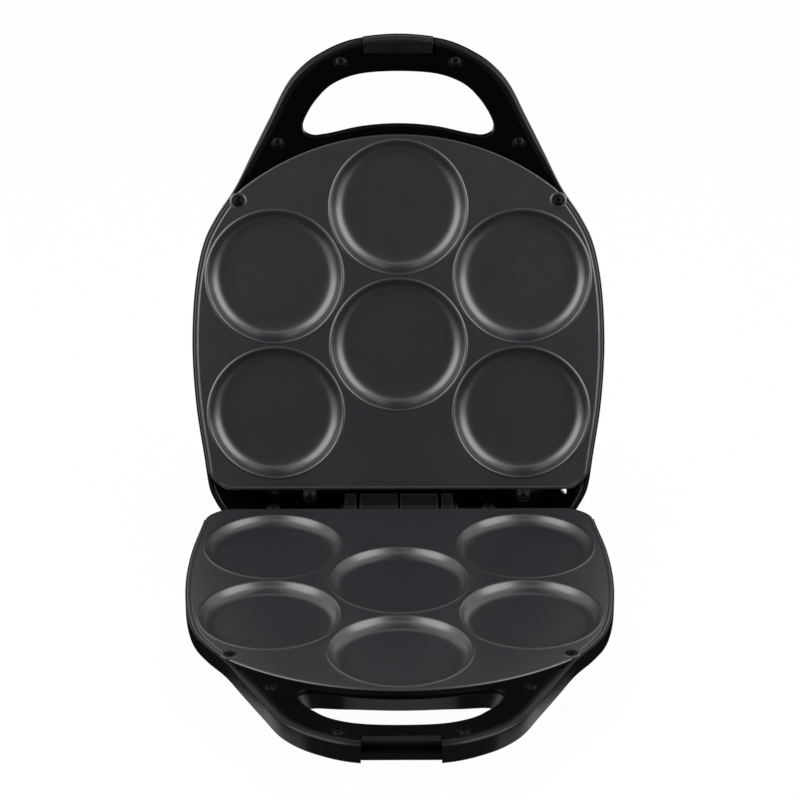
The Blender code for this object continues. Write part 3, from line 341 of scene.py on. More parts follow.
def addNode(tree, kind, settings=None, links=None):
    # Adds a node; settings fill its own values or, by socket name or number, its inputs; links feed inputs.
    made = tree.nodes.new(kind)
    for key, value in (settings or {}).items():
        if isinstance(key, str) and hasattr(made, key):
            setattr(made, key, value)
        else:
            made.inputs[key].default_value = value
    for key, socket in (links or {}).items():
        tree.links.new(socket, made.inputs[key])
    return made


def surface(name, colours, roughness, bumps, metallic=0.0, **shaderValues):
    # Colour drifts between two tones, roughness between two values, and each bump is noise of so many
    # millimetres across and deep.
    made = bpy.data.materials.new(name)
    made.use_nodes = True
    tree = made.node_tree
    tree.nodes.clear()
    where = {"Vector": addNode(tree, "ShaderNodeTexCoord").outputs["Object"]}
    shift = addNode(tree, "ShaderNodeTexNoise", {"Scale": 1000 / drift, "Detail": 3.0}, where)
    wipe = addNode(tree, "ShaderNodeTexNoise", {"Scale": 1000 / wear, "Detail": 4.0}, where)
    tone = addNode(tree, "ShaderNodeMix", {"data_type": "RGBA", 6: linear(colours[0]), 7: linear(colours[1])},
                   {0: shift.outputs["Fac"]})
    gloss = addNode(tree, "ShaderNodeMapRange", {"To Min": roughness[0], "To Max": roughness[1]},
                    {"Value": wipe.outputs["Fac"]})
    normal = {}
    for size, depth in bumps:
        grain = addNode(tree, "ShaderNodeTexNoise", {"Scale": 1000 / size, "Detail": 2.0}, where)
        bump = addNode(tree, "ShaderNodeBump", {"Strength": 1.0, "Distance": depth / 1000},
                       {"Height": grain.outputs["Fac"], **normal})
        normal = {"Normal": bump.outputs["Normal"]}
    links = {"Base Color": tone.outputs[2], "Roughness": gloss.outputs["Result"], **normal}
    shader = addNode(tree, "ShaderNodeBsdfPrincipled", {"Metallic": metallic, **shaderValues}, links)
    addNode(tree, "ShaderNodeOutputMaterial", None, {"Surface": shader.outputs["BSDF"]})
    return made


# Moulded black polypropylene: deep black with a soft gloss and a fine spark-eroded grain. The grain of the
# plastics, 0.1 mm on real ones, is drawn 0.7 to 0.9 mm across so that it shows.
blackPlastic = surface("mouldedPolypropylene", ("#0b0b0c", "#0e0e0f"), (0.2, 0.27),
                       [(0.8, 0.004)], **{"Specular IOR Level": 0.2})
# The covers inside the handle: the same plastic from a finer, slightly duller mould, with its colour painted
# darker than the shells' as painted shade.
shadedCoverPlastic = surface("mouldedCoverPlastic", ("#030304", "#050506"), (0.14, 0.2),
                       [(0.7, 0.003)], **{"Specular IOR Level": 0.06})
# The latch: black acetal, a little paler and satin where thumbs rub it.
latchPlastic = surface("latchAcetal", ("#0c0c0d", "#0f0f10"), (0.24, 0.32), [(0.9, 0.005)],
                       **{"Specular IOR Level": 0.4})
# PTFE non-stick coating sprayed on cast aluminium: satin charcoal with a faint orange peel, 2.4 mm across,
# and a fine flake, which at 0.5 mm is drawn coarser than it is.
plateCoating = surface("nonStickCoating", ("#1e1f22", "#222326"), (0.26, 0.32),
                       [(2.4, 0.006), (0.5, 0.002)], **{"Specular IOR Level": 1.0})
# Blackened steel of the screws and pins: dark oxide with a dull metallic glint.
blackSteel = surface("blackenedSteel", ("#1e1e20", "#262628"), (0.34, 0.46), [(0.4, 0.003)], 1.0)
# Drawn steel of the heating tubes, oxidised brown-grey and dulled by heat.
elementSteel = surface("oxidisedTubeSteel", ("#3b3836", "#4a4542"), (0.4, 0.55), [(0.6, 0.004)], 1.0)
# Zinc-plated steel of the element clips and the fuse: bright, smooth and faintly blue.
brightSteel = surface("zincPlatedSteel", ("#9c9fa4", "#a9abaf"), (0.24, 0.34), [(0.6, 0.002)], 1.0)
# Rolled aluminium sheet of the reflectors: pale, with a soft even sheen.
aluminium = surface("rolledAluminium", ("#b9babc", "#c4c5c7"), (0.28, 0.4), [(1.5, 0.004)], 1.0)
# Steatite ceramic: chalky cream, matt.
ceramic = surface("steatiteCeramic", ("#cdc7b8", "#d6d1c4"), (0.6, 0.72), [(0.5, 0.01)])
# Silicone rubber of feet and gland: matt black, soft highlight.
rubber = surface("siliconeRubber", ("#121213", "#161617"), (0.68, 0.8), [(0.5, 0.008)])
# Tinted polycarbonate of the lenses: clear colour under a sharp gloss.
redLens = surface("redPolycarbonate", ("#8c0d0d", "#9a1212"), (0.1, 0.16), [],
                  **{"Transmission Weight": 0.4, "IOR": 1.585})
greenLens = surface("greenPolycarbonate", ("#0d6b22", "#12792a"), (0.1, 0.16), [],
                    **{"Transmission Weight": 0.4, "IOR": 1.585})
# Blown glass of the neon lamps: warm and clear.
lampGlass = surface("lampGlass", ("#d8b892", "#e0c4a2"), (0.05, 0.1), [],
                    **{"Transmission Weight": 0.6, "IOR": 1.5})
# Extruded silicone round the leads: brown-red live and blue neutral, with a dull waxy gloss.
liveInsulation = surface("liveLeadSilicone", ("#7a2418", "#85291c"), (0.45, 0.6), [])
neutralInsulation = surface("neutralLeadSilicone", ("#1c3f8a", "#224795"), (0.45, 0.6), [])

print("housings")

slotShape = {
    "pull": {"base": 2.0, "lid": 0.6},          # how far the slot's front edge stands back
    "pullFrom": 222, "pullOver": 12,            # d where that begins, and how long it grows
    "footWidth": 0.93, "footBack": 213.6, "footReach": 9, "footRound": 1.0,    # the mouth under the base
}
inside = {                 # bosses, posts and screw holes: radii, and levels where they start and end
    "boss": 3.4, "bossTop": {"plate": 4.05, "tab": 4.35, "cover": 3.55},
    "bossPast": {"plate": 3, "tab": 3, "cover": 0},             # past the shell's own depth
    "post": 3.5, "postTop": 19.25, "postPast": 3,
    "posts": [(-60.204, 54.3), (-60.204, 147.66), (60.204, 54.3), (60.204, 147.66)],
    "holeEnd": {"cover": 9.05, "plate": 12.25, "tab": 12.25},
}
underBase = {              # (radius, level) profiles; what is cut out for the lid's knuckles and the latch
    "footBoss": [(8.8, 32.6), (8.8, 41.0), (8.6, 41.5), (8.1, 41.75)],
    "footHole": [(3.3, 37.05), (3.3, 45.75)],
    "gland": (30, 12), "glandHole": [(2.9, 28.55), (2.9, 36.75)],
    "knuckleRoom": [(0.1, 22.4, 9.7), (-33.8, -23.1, 9.7), (30.0, 33.9, 5.1)],      # span in x, radius
    "roomBack": -15, "roomTop": -9.2,
    "latchRoom": [(261.585, -3), (269, -3), (269, 15), (262.985, 15), (262.985, 7.7), (257.085, 7.7),
                  (257.085, 3.1), (261.585, 3.1)],
    "notch": ((-20, 20), (256, 270), (11.3, 16)),
}
underLid = {               # web between the knuckles and the shell, latch bay, lugs of its pin, corner notch
    "web": [(-10.9, 1.55), (-4.6, 1.55), (-4.6, -6.42), (4.6, -6.42), (4.6, 10.15), (-10.9, 10.15)],
    "bayEnd": 269, "bayFloor": 9.3,
    "lugs": [(-22.8, -20.0), (20.0, 22.8)], "lugPlace": ((255.985, 261.585), (3.55, 11.75)),
    "notch": [(-95.5, 9), (-95.2, 0.6), (-92.2, 2.6), (-89.6, 9)], "notchSpan": (40 / 3, 43),
}
recess = {                 # the base's back: wall, slope and the ledge that the open lid leans on
    "halfWidth": 118, "front": 22, "slopeEnd": 8, "low": 7.62, "back": 4.908, "far": 36.0,
    "rest": 12, "gap": 0.3,
    "keeper": ((-22.2, 22.2), (253.585, 266), (3.55, 11.75)),       # solid stock kept round the latch's room
    "hookBar": ((-19.7, 19.7), (255.785, 266), (1.5, 5.45)),        # what the barb catches under
}


def trayRings(half, top, back, low, edge, roundTop):
    # Body and handle in one: rounded rim, softer round the handle, side, and a rounded edge round the floor.
    rings = []
    if roundTop:
        swell = 1 + handleShare(outline[:, 1]) * body["rimSwell"]
        rings = [raised(inset(outline, back + away * swell), top + down * swell)
                 for away, down in rounding(roundTop)]
    else:
        back = back + handleShare(outline[:, 1]) * body["rimMore"]
        rings = [raised(inset(outline, back), top)]
    for away, up in reversed(rounding(edge, 6)):
        curve = inset(outline, back + away)
        rings.append(raised(curve, skirtLevel(curve[:, 1], half) - low - up))
    return rings


def domeRings(depth, wall=0):
    # The dome's plan shrinks towards its top by shares that a smooth curve draws through the table, and its
    # last ring rolls over into the flat.
    table = smoothCurve(body["dome"], 4, closed=False)
    curve = soften(withinArc(inset(outline, body["domeInset"]), body["arcRadius"] + body["domeInset"]), 4)
    rings = []
    for share, side, front, back in table:
        stretch = np.where(curve[:, 1] > body["domeCentre"], front, back)
        shrunk = np.stack([curve[:, 0] * side,
                           body["domeCentre"] + (curve[:, 1] - body["domeCentre"]) * stretch], 1)
        rings.append(raised(inset(shrunk, wall) if wall else shrunk, share * depth - wall))
    last = rings.pop()[:, :2]
    return rings + [raised(inset(last, away), depth - wall - down) for away, down in body["topRound"]]


def knuckle(part, axis):
    # A barrel round the hinge's axis, its radius falling in two steps at each end.
    (left, right), r, (far, near) = hinge[part], hinge["knuckle"], hinge["knuckleRound"]
    profile = [(r - far, left), (r - near, left + near), (r, left + far), (r, right - far),
               (r - near, right - near), (r - far, right)]
    return turned(profile, (0, axis), 72, "x")


def slotCutter(half, level, growTop, deep):
    # The handle's opening, flared by a rounding at its lower edge, or at its upper edge in a cover. Its front
    # edge is pulled back, and underneath the base its back edge runs straight between narrower ends.
    front = np.clip((slot[:, 1] - slotShape["pullFrom"]) / slotShape["pullOver"], 0, 1)[:, None]
    edge = slot - (0, slotShape["pull"][half]) * front
    if growTop:
        rings = [raised(inset(edge, -away), level + down) for away, down in rounding(growTop)]
        rings[0][:, 2] += 0.01
        return band([raised(rings[0][:, :2], level - 3)] + rings + [raised(edge, deep)])
    floor, foot = skirtLevel(slot[:, 1], half), edge
    if half == "base":
        foot, line = edge * (slotShape["footWidth"], 1), slotShape["footBack"]
        flatter = line + (foot[:, 1] - line) * np.abs(edge[:, 1] - line) / slotShape["footReach"]
        foot[:, 1] = np.where(edge[:, 1] < slotShape["pullFrom"], flatter, foot[:, 1])
    rings = [raised(edge, levels["clear"]), raised(edge, 4)]
    rings += [raised(inset(foot, -away), floor - down)
              for away, down in reversed(rounding(slotShape["footRound"]))]
    rings[-1][:, 2] -= 0.01
    return band(rings + [raised(rings[-1][:, :2], floor + 4)])


def housing(half):
    # Outside: the handle's tray and the body's dome, joined. Inside: the same two a wall smaller, less the
    # bosses, posts and the slot's wall, cut out of it. Then the knuckles are added and the holes cut.
    depth, axis = levels[half], levels["parting"] * (1 if half == "base" else -1)
    wall, seat, clear = body["wall"], levels["coverSeat"], levels["clear"]
    tray = trayRings(half, levels["rim"], 0, 0, body["skirtRound"], body["rimRound"])
    item = solid(half + "Housing", band(tray))
    carve(item, "UNION", band(domeRings(depth)))
    radius, top, past = inside["boss"], inside["bossTop"], inside["bossPast"]
    bosses = [turned([(radius, top[kind]), (radius, depth + past[kind])], p, 32)
              for kind in ("plate", "tab", "cover") for p in screws[kind]]
    post = [(inside["post"], inside["postTop"]), (inside["post"], depth + inside["postPast"])]
    bosses += [turned(post, p, 32) for p in inside["posts"]]
    hollow = domeRings(depth, wall)
    hollow = solid("hollow", band([raised(hollow[0][:, :2], clear)] + hollow[1:]))
    tray = trayRings(half, 0, body["sideWall"], wall, body["innerRound"], 0)
    tray[0][:, 2] = clear
    carve(hollow, "UNION", band(tray))
    around = inset(slot, -body["sideWall"])
    carve(hollow, "DIFFERENCE", joined(bosses), band([raised(around, seat), raised(around, depth)]))
    if half == "base":
        shapeBack(item, hollow, bosses)
    else:
        carve(hollow, "DIFFERENCE", joined([block(x, *underLid["lugPlace"]) for x in underLid["lugs"]]))
    carve(item, "DIFFERENCE", hollow)
    carve(item, "UNION", joined([knuckle("barrel", axis), knuckle("ear", axis)]))
    holes = [turned([(screws["hole"], clear), (screws["hole"], inside["holeEnd"][kind])], p, 24)
             for kind in ("cover", "plate", "tab") for p in screws[kind]]
    holes.append(slotCutter(half, 0, 0, 0))
    pinBore = turned([(hinge["bore"], -57), (hinge["bore"], 57)], (0, axis), 48, "x")
    if half == "base":
        carve(item, "UNION", joined([turned(underBase["footBoss"], p, 56) for p in feet]))
        holes += [turned(underBase["footHole"], p, 32) for p in feet]
        holes.append(turned(underBase["glandHole"], underBase["gland"], 40))
        holes += [block((left, right), (underBase["roomBack"], r), (underBase["roomTop"], axis + r))
                  for left, right, r in underBase["knuckleRoom"]]
        holes.append(carried(underBase["latchRoom"], -20, 20))
        carve(item, "DIFFERENCE", joined(holes), pinBore, block(*underBase["notch"]))
    else:
        carve(item, "UNION", joined([carried(underLid["web"], *hinge[part]) for part in ("barrel", "ear")]))
        holes.append(block((-20, 20), (latch["bayBack"] - latch["bayGap"], underLid["bayEnd"]),
                           (clear, underLid["bayFloor"])))
        holes += [turned(lens["hole"], p, 48) for p in lens["places"].values()]
        holes.append(band([raised(np.array(underLid["notch"]), level) for level in underLid["notchSpan"]]))
        latchBore = turned([(latch["bore"], -28.6), (latch["bore"], 28.6)], latch["pivot"], 32, "x")
        carve(item, "DIFFERENCE", joined(holes), joined([pinBore, latchBore]))
    return item


def shapeBack(item, hollow, bosses):
    # The recessed back wall and the sloping ledge on which the open lid's back rests. Its level at y behind
    # the hinge is parting + rest / sin(opening) - y / tan(opening).
    low, back, far, side = (recess[key] for key in ("low", "back", "far", "halfWidth"))
    gap = recess["gap"] / math.sin(opening)

    def ledge(y, below):
        return levels["parting"] + recess["rest"] / math.sin(opening) - y / math.tan(opening) + below

    swing = [(recess["front"], -far), (recess["front"], levels["rim"]), (recess["slopeEnd"], low),
             (-back, low), (-back, ledge(back, gap)), (-far, ledge(far, gap)), (-far, -far)]
    swing = solid("swing", carried(swing, -side, side))
    carve(swing, "DIFFERENCE", joined(bosses))
    carve(item, "DIFFERENCE", swing)
    inner, below = back - body["wall"], gap + body["wall"]
    wall = [(-inner, -far), (-inner, ledge(inner, below)), (-far, ledge(far, below)), (-far, -far)]
    carve(hollow, "DIFFERENCE", carried(wall, -side, side), block(*recess["keeper"]),
          block(*recess["hookBar"]))


for half in halves:
    place(housing(half), half, half, blackPlastic, [half + "_housing"])

print("plates")

casting = {
    "cornerAt": 22.5, "corner": 13,             # d of the back corners' centres, and their radius
    "sideFrom": 13, "sideOver": 8,              # d where the flange down the sides begins, and its run-out
    "frontFade": 2.5, "middle": 60,             # where it ends before the front edge; d of the middle
    "tab": 3.5, "tabRound": 0.3, "tabTop": 1.55, "tabUnder": 4.05, "tabCentre": 5.5, "tabRoot": 16.5,
    # radius and depth below the face of the ring round a plate screw
    "ring": [(4.6, 0.5), (4.6, 0), (4.3, -0.14), (3.9, -0.28), (3.4, -0.3), (1, -0.3)],
}
edges = {                  # from the plate's face to its underside: distance in from the plan, depth
    "side": [(1.5, 0), (1.0, 0.08), (0.6, 0.24), (0.25, 0.1), (-0.1, 0.0), (-0.9, 0.0), (-1.12, 0.06),
             (-1.28, 0.2), (-1.3, 0.42), (0, 0.42), (0, 2.7), (0.3, 3.0)],
    "end": [(0.9, 0), (0.6, 0.05), (0.38, 0.15), (0.22, 0.28), (0.1, 0.45), (0.03, 0.62), (0.01, 0.75),
            (0, 0.9), (0, 1.1), (0, 1.3), (0, 2.7), (0.3, 3.0)],
    "back": [(2.1, 0), (1.85, -0.12), (1.5, -0.22), (1.15, -0.25), (0.8, -0.2), (0.5, -0.05), (0.25, 0.15),
             (0.1, 0.4), (0.02, 0.7), (0, 1.3), (0, 2.7), (0.3, 3.0)],
}


def plateOutline():
    # The handle's outline less the rim, held within the front arc, its back corners quarter circles.
    curve = withinArc(inset(outline, body["rimGap"]), body["arcRadius"])
    start, bend = casting["cornerAt"], casting["corner"]
    side = sideAt(start, curve) - bend
    right = [tuple(p) for p in curve if p[1] > start + 1 and p[0] > -0.01]
    a = np.linspace(-math.pi / 2, 0, 14)
    corner = list(zip(side + bend * np.cos(a), start + bend * np.sin(a)))
    return np.array(mirrored(corner + right))


plan = plateOutline()


def plate(half):
    # Rings of the plan, set in by profiles that blend along it: down the sides the face runs on over the
    # housing's rim, past a fine groove; the front is rounded, and the back ends in a low bead. Wells and
    # beads are turned and joined to it or cut out of it.
    top, behind = levels["plate"], plan[:, 1] < casting["middle"]
    reach = np.hypot(plan[:, 0], plan[:, 1] - body["arcCentre"])
    ahead = np.where(plan[:, 1] > body["arcCentre"], (body["arcRadius"] - reach) / casting["frontFade"], 1)
    share = np.clip(np.minimum(ahead, (plan[:, 1] - casting["sideFrom"]) / casting["sideOver"]), 0, 1)
    rings = []
    for side, end, back in zip(edges["side"], edges["end"], edges["back"]):
        away, down = (side[k] * share + np.where(behind, back[k], end[k]) * (1 - share) for k in (0, 1))
        rings.append(raised(inset(plan, away), top + down))
    item = solid(half + "Plate", band(rings))
    tabs, r, edge, high = [], casting["tab"], casting["tabRound"], casting["tabTop"]
    for x, d in screws["tab"]:
        a = np.linspace(0, -math.pi, 15)
        curve = [(x + r * math.cos(t), casting["tabCentre"] + r * math.sin(t)) for t in a]
        curve = np.array(curve + [(x - r, casting["tabRoot"]), (x + r, casting["tabRoot"])])[::-1]
        tabs.append(band([raised(inset(curve, edge), high), raised(curve, high + edge),
                          raised(curve, casting["tabUnder"])]))
    carve(item, "UNION", joined([turned(wells["under"], p, 96) for p in wells["places"]]), joined(tabs))
    dish, bead = ([(r, top + down) for r, down in wells[key]] for key in ("profile", "bead"))
    ring = [(r, top + down) for r, down in casting["ring"]]
    floor, hole, wide = top + screws["sinkDepth"], screws["hole"], screws["sinkRadius"]
    sink = [(wide, levels["clear"]), (wide, floor), (hole, floor), (hole, 8)]
    carve(item, "UNION", joined([turned(bead, p, 128) for p in wells["places"]]),
          joined([turned(ring, p, 40) for p in screws["plate"]]))
    holes = [turned(sink, p, 40) for p in screws["plate"]]
    holes += [turned([(hole, levels["clear"]), (hole, 8)], p, 32) for p in screws["tab"]]
    carve(item, "DIFFERENCE", joined([turned(dish, p, 128) for p in wells["places"]]), joined(holes))
    return item


for half in halves:
    place(plate(half), half, half, plateCoating, [half + "_plate"], 25)

print("handle covers")

coverShape = {
    "arcGap": 0.8, "arcEnd": 2.5, "edge": 0.5, "slotEdge": 0.9,
    "bay": ((-20.3, 20.3), (255.485, 269), (-3, 8)),            # room for the latch
    "sinkRim": [(3.8, 0), (3.55, 0.08), (3.3, 0.28), (3.2, 0.6)],
}


def coverOutline():
    # The handle's outline less its rim, closed by an arc a gap outside the plate's front edge.
    curve = inset(outline, body["rimGap"] + handleShare(outline[:, 1]) * body["rimMore"])
    near = body["arcRadius"] + coverShape["arcGap"]
    reach = np.hypot(curve[:, 0], curve[:, 1] - body["arcCentre"])
    ahead = curve[(reach > near + coverShape["arcEnd"]) & (curve[:, 1] > body["arcCentre"])]
    a, b = (math.atan2(p[1] - body["arcCentre"], p[0]) for p in (ahead[-1], ahead[0]))
    t = np.linspace(a, b, 48)
    arc = np.stack([near * np.cos(t), body["arcCentre"] + near * np.sin(t)], 1)
    return np.vstack([ahead, arc])


def cover(half):
    # The cover's outline with a rounded upper edge, less the slot, the latch's bay and chamfered screw sinks.
    top, hole, floor = levels["rim"], screws["hole"], levels["rim"] + screws["sinkDepth"]
    curve = coverOutline()
    rings = [raised(inset(curve, away), top + down) for away, down in rounding(coverShape["edge"])]
    item = solid(half + "HandleCover", band(rings + [raised(curve, levels["coverUnder"])]))
    sink = [(r, top + down) for r, down in coverShape["sinkRim"]]
    sink = [(sink[0][0], levels["clear"])] + sink + [(screws["sinkRadius"], floor), (hole, floor), (hole, 8)]
    carve(item, "DIFFERENCE", slotCutter(half, top, coverShape["slotEdge"], 8), block(*coverShape["bay"]),
          joined([turned(sink, p, 40) for p in screws["cover"]]))
    return item


# The handle covers take the plastic whose darker colour is painted shade.
for half in halves:
    place(cover(half), half, half, shadedCoverPlastic, [half + "_handle_cover"])

print("screws, hinge and latch")


def screw(top, length, spot):
    # Pan head and tapered shank turned as one; the cross recess is cut out of it afterwards.
    head, high, shank = screws["head"], screws["headHeight"], screws["shank"]
    crown = [(r, top + down) for r, down in screws["crown"]]
    sides = [(head, top + screws["crownEdge"]), (head, top + high), (shank, top + high),
             (shank, top + high + length - shank), (shank * 0.4, top + high + length)]
    return turned(crown + sides, spot, 48)


def crossRecess(top, spot, turn):
    # A plus sign turned about the screw's axis, whose arms are half as long and three quarters as wide at
    # its floor.
    reach, width, deep = screws["crossReach"], screws["crossWidth"], screws["crossDepth"]
    rings = []
    for share, level in ((1.0, top - 1), (1.0, top + 0.02), (0.5, top + deep)):
        r, w = reach * share, width * (0.5 + share / 2)
        plus = [(w, w), (w, r), (-w, r), (-w, w), (-r, w), (-r, -w), (-w, -w), (-w, -r), (w, -r), (w, -w),
                (r, -w), (r, w)]
        x, y = np.array(plus).T
        rings.append(raised(np.stack([spot[0] + x * math.cos(turn) - y * math.sin(turn),
                                      spot[1] + x * math.sin(turn) + y * math.cos(turn)], 1), level))
    return band(rings)


screwKinds = {             # level of the head, length, node
    "cover": (1.25, screws["coverLength"], "handle_screw"),
    "plate": (0.75, screws["plateLength"], "plate_screw"),
    "tab": (0.25, screws["plateLength"], "tab_screw"),
}
turns = {"base": (0.4, 1.1, 0.75, 0.2), "lid": (0.9, 0.3, 0.6, 1.3)}    # each cross stands at its own angle
for half in halves:
    for kind, (top, length, node) in screwKinds.items():
        for k, spot in enumerate(screws[kind]):
            name = f"{half}_{node}_{k + 1}"
            item = solid(name.replace("_", "-"), screw(top, length, spot))
            carve(item, "DIFFERENCE", crossRecess(top, spot, turns[half][k]))
            place(item, half, half, blackSteel, [name])


def pinParts():
    # Pin with a domed head on the right, and on the left its clip, an open ring.
    head, r, axis = hinge["pinHead"], hinge["pin"], (0, levels["parting"])
    pin = turned([(r - 0.5, -32.6), (r, -32.1), (r, 30.6), (head, 30.6), (head, 32.3), (head - 0.3, 32.9),
                  (head - 1.2, 33.3), (head - 2.6, 33.4)], axis, 72, "x")
    clip = turned([(4.0, -31.6), (4.2, -31.5), (4.2, -30.7), (4.0, -30.6)], axis, 64, "x")
    hole = turned([(2.8, -35), (2.8, -25)], axis, 64, "x")
    mouth = block((-35, -25), (-1.6, 1.6), (axis[1] + 1, axis[1] + 8))
    return solid("hingePin", pin), carve(solid("hingePinClip", clip), "DIFFERENCE", hole, mouth)


pin, pinClip = pinParts()
place(pin, "base", "base", blackSteel, ["hinge_pin"])
place(pinClip, "base", "base", blackSteel, ["hinge_pin_clip"])


def latchClip():
    # An eye round the pin, a leg past the rim and a barb inwards, cut to the handle's own outline, which the
    # thumb rest between the rim and the clip's top stands proud of. The edge towards the slot is arched,
    # with a raised lip along it: circles carried along the arch.
    back, edge, top, barb = (latch[key] for key in ("bayBack", "edge", "top", "barb"))
    low, end, half = latch["pivot"][1] - latch["eye"], barb[-1][1], latch["width"] / 2
    profile = [(270, top), (back, top), (back, low), (edge, low)]
    profile += [(edge + d, u) for d, u in barb] + [(270, end)]
    item = solid("latchClip", carried(rounded(profile, 0.5), -half, half, 0.35))
    skin = [raised(inset(outline, latch["skin"] + away), end + down) for away, down in rounding(0.6)]
    skin += [raised(inset(outline, latch["skin"] - out), u) for out, u in latch["bulge"]]
    carve(item, "INTERSECT", band(skin))
    x = np.linspace(-half + 0.9, half - 0.9, 25)
    arch = latch["arch"] - latch["archRise"] * (x / half) ** 2
    behind = np.vstack([np.stack([x, arch], 1)[::-1], [(x[0], 255), (x[-1], 255)]])
    a, r = np.arange(16) * math.pi / 8, latch["lip"]
    lip = [np.column_stack([np.full(16, at), d + r * np.cos(a), latch["lipLevel"] + r * np.sin(a)])
           for at, d in zip(x, arch + latch["lipAhead"])]
    carve(item, "DIFFERENCE", turned([(latch["bore"], -25), (latch["bore"], 25)], latch["pivot"], 32, "x"),
          band([raised(behind, 1.5), raised(behind, 4.0)]))
    return carve(item, "UNION", band(lip))


place(latchClip(), "lid", "latch", latchPlastic, ["latch"])

print("feet and lenses")

footProfile = [(3.0, 37.65), (3.0, 42.05), (7.2, 42.05), (7.5, 42.35), (7.5, 44.7), (7.3, 45.3), (6.8, 45.65),
               (6.2, 45.75), (4.4, 45.75), (4.1, 45.4), (3.6, 45.2)]
lensProfile = [(0.5, 40.8), (1.6, 40.75), (2.6, 40.6), (3.4, 40.3), (3.9, 39.9), (3.9, 37.5), (5.2, 37.5),
               (5.2, 36.4), (3.9, 36.4), (3.9, 34.2), (2.4, 34.2), (2.4, 39.2), (1.2, 39.5)]
for k, spot in enumerate(feet):
    foot = solid(f"rubberFoot{k + 1}", turned(footProfile, spot, 64))
    place(foot, "base", "base", rubber, [f"foot_{k + 1}"])
for name, finish, slotName in [("power_light", redLens, "red_lens"),
                               ("ready_light", greenLens, "green_lens")]:
    dome = solid(name + "-dome", turned(lensProfile, lens["places"][name], 64))
    place(dome, "lid", "lid", finish, [name + "_lens"])

nodeFinishes = {           # CAD nodes whose shape stays
    "heating_element": elementSteel, "element_clip_1": brightSteel, "element_clip_2": brightSteel,
    "reflector": aluminium, "thermostat": ceramic, "thermal_fuse": brightSteel, "terminal_block": ceramic,
    "live_lead": liveInsulation, "neutral_lead": neutralInsulation, "cord_gland": rubber,
    "power_light_lamp": lampGlass, "ready_light_lamp": lampGlass, "latch_pin": blackSteel,
}
for name, node in frame["nodes"].items():
    finish = nodeFinishes.get(name) or nodeFinishes.get(name.split("_", 1)[-1])
    if finish:
        node.data.materials.clear()
        node.data.materials.append(finish)

print("floor, lights and camera")

studio = {
    "world": 0.2, "floor": "#f2f2f2", "floorGlow": 0.97, "floorReach": 4,
    # position, what it faces, width and height, watts
    "softboxes": {"leftBox": ((-0.95, -0.6, 0.62), (0, -0.1, 0.62), (1.1, 1.2), 13),
                  "rightBox": ((0.95, -0.6, 0.62), (0, -0.1, 0.62), (1.1, 1.2), 13),
                  "topBox": ((0, 0.0, 2.2), (0, 0, 0.1), (1.6, 1.6), 30)},
    # Black cards that only reflections show: they keep the gloss dark where floor and room are white.
    "cards": {
        "nearCard": [(-0.2, -0.175, 0.001), (0.2, -0.175, 0.001), (0.35, -0.8, 0.001), (-0.35, -0.8, 0.001)],
        "frontCard": [(-0.35, -0.8, 0.001), (0.35, -0.8, 0.001), (0.75, -2.6, 0.001), (-0.75, -2.6, 0.001)],
        "backCard": [(-0.8, 1.5, 0.0), (0.8, 1.5, 0.0), (0.8, 1.5, 0.9), (-0.8, 1.5, 0.9)],
        "leftCard": [(-0.25, -0.175, 0.001), (-0.25, 0.3, 0.001), (-0.125, 0.3, 0.001),
                     (-0.125, -0.175, 0.001)],
        "rightCard": [(0.125, -0.175, 0.001), (0.125, 0.3, 0.001), (0.25, 0.3, 0.001), (0.25, -0.175, 0.001)],
        "farCard": [(-0.8, -2.6, 0.0), (0.8, -2.6, 0.0), (0.9, -2.6, 2.2), (-0.9, -2.6, 2.2)],
        "overCard": [(-0.6, -1.8, 2.6), (0.6, -1.8, 2.6), (0.6, 1.2, 2.6), (-0.6, 1.2, 2.6)],
    },
    # focal length, then the camera's place about the hinge: millimetres and radians
    "cameraLens": 156.65, "distance": 1950.12, "elevation": 0.4373, "yaw": -0.0049, "roll": -0.0006,
    "across": 0.65, "upward": 61.539,
}


def flat(name, corners, material):
    # One face through its corners.
    mesh = bpy.data.meshes.new(name)
    mesh.from_pydata(corners, [], [list(range(len(corners)))])
    item = bpy.data.objects.new(name, mesh)
    bpy.context.scene.collection.objects.link(item)
    mesh.materials.append(material)
    return item


def seenShare(tree):
    # 1 for rays from the camera, in mirrors and through glass, 0 for light that bounces.
    rays = addNode(tree, "ShaderNodeLightPath")
    seen = addNode(tree, "ShaderNodeMath", {"operation": "MAXIMUM"},
                   {0: rays.outputs["Is Camera Ray"], 1: rays.outputs["Is Glossy Ray"]})
    seen = addNode(tree, "ShaderNodeMath", {"operation": "MAXIMUM"},
                   {0: seen.outputs[0], 1: rays.outputs["Is Transmission Ray"]})
    return seen.outputs[0]


def backdropMaterial():
    # Pale floor: nearly white of its own to whatever sees it, and lit just enough to keep the shadow.
    made = bpy.data.materials.new("paleFloor")
    made.use_nodes = True
    tree = made.node_tree
    tree.nodes.clear()
    share = addNode(tree, "ShaderNodeMath", {"operation": "MULTIPLY", 1: studio["floorGlow"]},
                    {0: seenShare(tree)})
    lit = addNode(tree, "ShaderNodeBsdfDiffuse", {"Color": linear(studio["floor"])})
    glow = addNode(tree, "ShaderNodeEmission", {"Color": (1, 1, 1, 1), "Strength": 1.0})
    mixed = addNode(tree, "ShaderNodeMixShader", None,
                    {0: share.outputs[0], 1: lit.outputs["BSDF"], 2: glow.outputs["Emission"]})
    addNode(tree, "ShaderNodeOutputMaterial", None, {"Surface": mixed.outputs["Shader"]})
    return made


far = studio["floorReach"]
flat("floor", [(-far, -far, 0), (far, -far, 0), (far, far, 0), (-far, far, 0)], backdropMaterial())

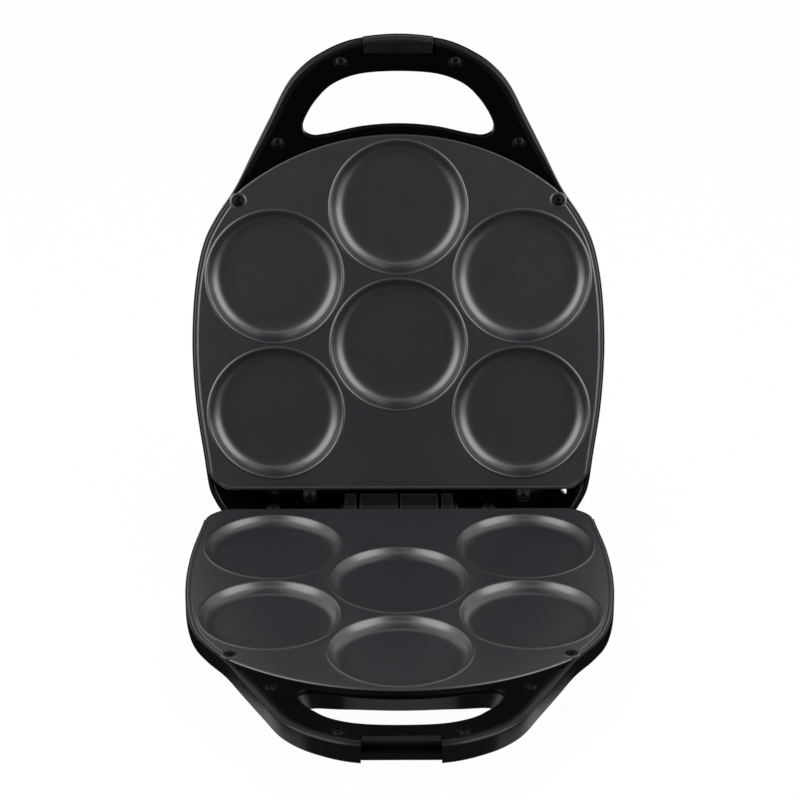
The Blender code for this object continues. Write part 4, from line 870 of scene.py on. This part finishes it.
world = bpy.data.worlds.new("softRoom")
bpy.context.scene.world = world
world.use_nodes = True
tree = world.node_tree
tree.nodes.clear()
level = addNode(tree, "ShaderNodeMapRange", {"To Min": studio["world"], "To Max": 1.0},
                {"Value": seenShare(tree)})
glow = addNode(tree, "ShaderNodeBackground", {"Color": (1, 1, 1, 1)}, {"Strength": level.outputs["Result"]})
addNode(tree, "ShaderNodeOutputWorld", None, {"Surface": glow.outputs["Background"]})


def softbox(name, position, target, size, power):
    # A rectangular light whose back axis is the unit vector from its target, with its width level.
    light = bpy.data.lights.new(name, "AREA")
    light.shape, light.size, light.size_y, light.energy = "RECTANGLE", size[0], size[1], power
    item = bpy.data.objects.new(name, light)
    item.location = position
    back = np.array(position) - np.array(target)
    back = back / np.linalg.norm(back)
    right = np.cross((0, 0, 1), back)
    right = right / np.linalg.norm(right)
    item.rotation_euler = Matrix(np.stack([right, np.cross(back, right), back], 1).tolist()).to_euler()
    bpy.context.scene.collection.objects.link(item)
    return item


boxes = {name: softbox(name, *values) for name, values in studio["softboxes"].items()}
boxes["topBox"].visible_glossy = False

cardMaterial = bpy.data.materials.new("blackCard")
cardMaterial.use_nodes = True
cardShader = cardMaterial.node_tree.nodes["Principled BSDF"].inputs
cardShader["Base Color"].default_value, cardShader["Specular IOR Level"].default_value = (0, 0, 0, 1), 0
for name, corners in studio["cards"].items():
    card = flat(name, corners, cardMaterial)
    card.visible_camera = card.visible_diffuse = card.visible_shadow = card.visible_transmission = False

# The camera looks along a line turned by yaw and elevation, and its picture is turned by roll about it.
rise, yaw, roll = studio["elevation"], studio["yaw"], studio["roll"]
back = np.array([math.sin(yaw) * math.cos(rise), -math.cos(yaw) * math.cos(rise), math.sin(rise)])
right = np.array([math.cos(yaw), math.sin(yaw), 0])
up = np.cross(back, right)
right, up = right * math.cos(roll) + up * math.sin(roll), up * math.cos(roll) - right * math.sin(roll)
camera = bpy.data.cameras.new("camera")
camera.lens, camera.sensor_width, camera.clip_end = studio["cameraLens"], 36, 100
view = bpy.data.objects.new("camera", camera)
eyePoint = hingePoint + back * studio["distance"] + right * studio["across"] + up * studio["upward"]
view.location = eyePoint / 1000
view.rotation_euler = Matrix(np.stack([right, up, back], 1).tolist()).to_euler()
bpy.context.scene.collection.objects.link(view)
bpy.context.scene.camera = view
bpy.context.scene.view_settings.view_transform = "Standard"
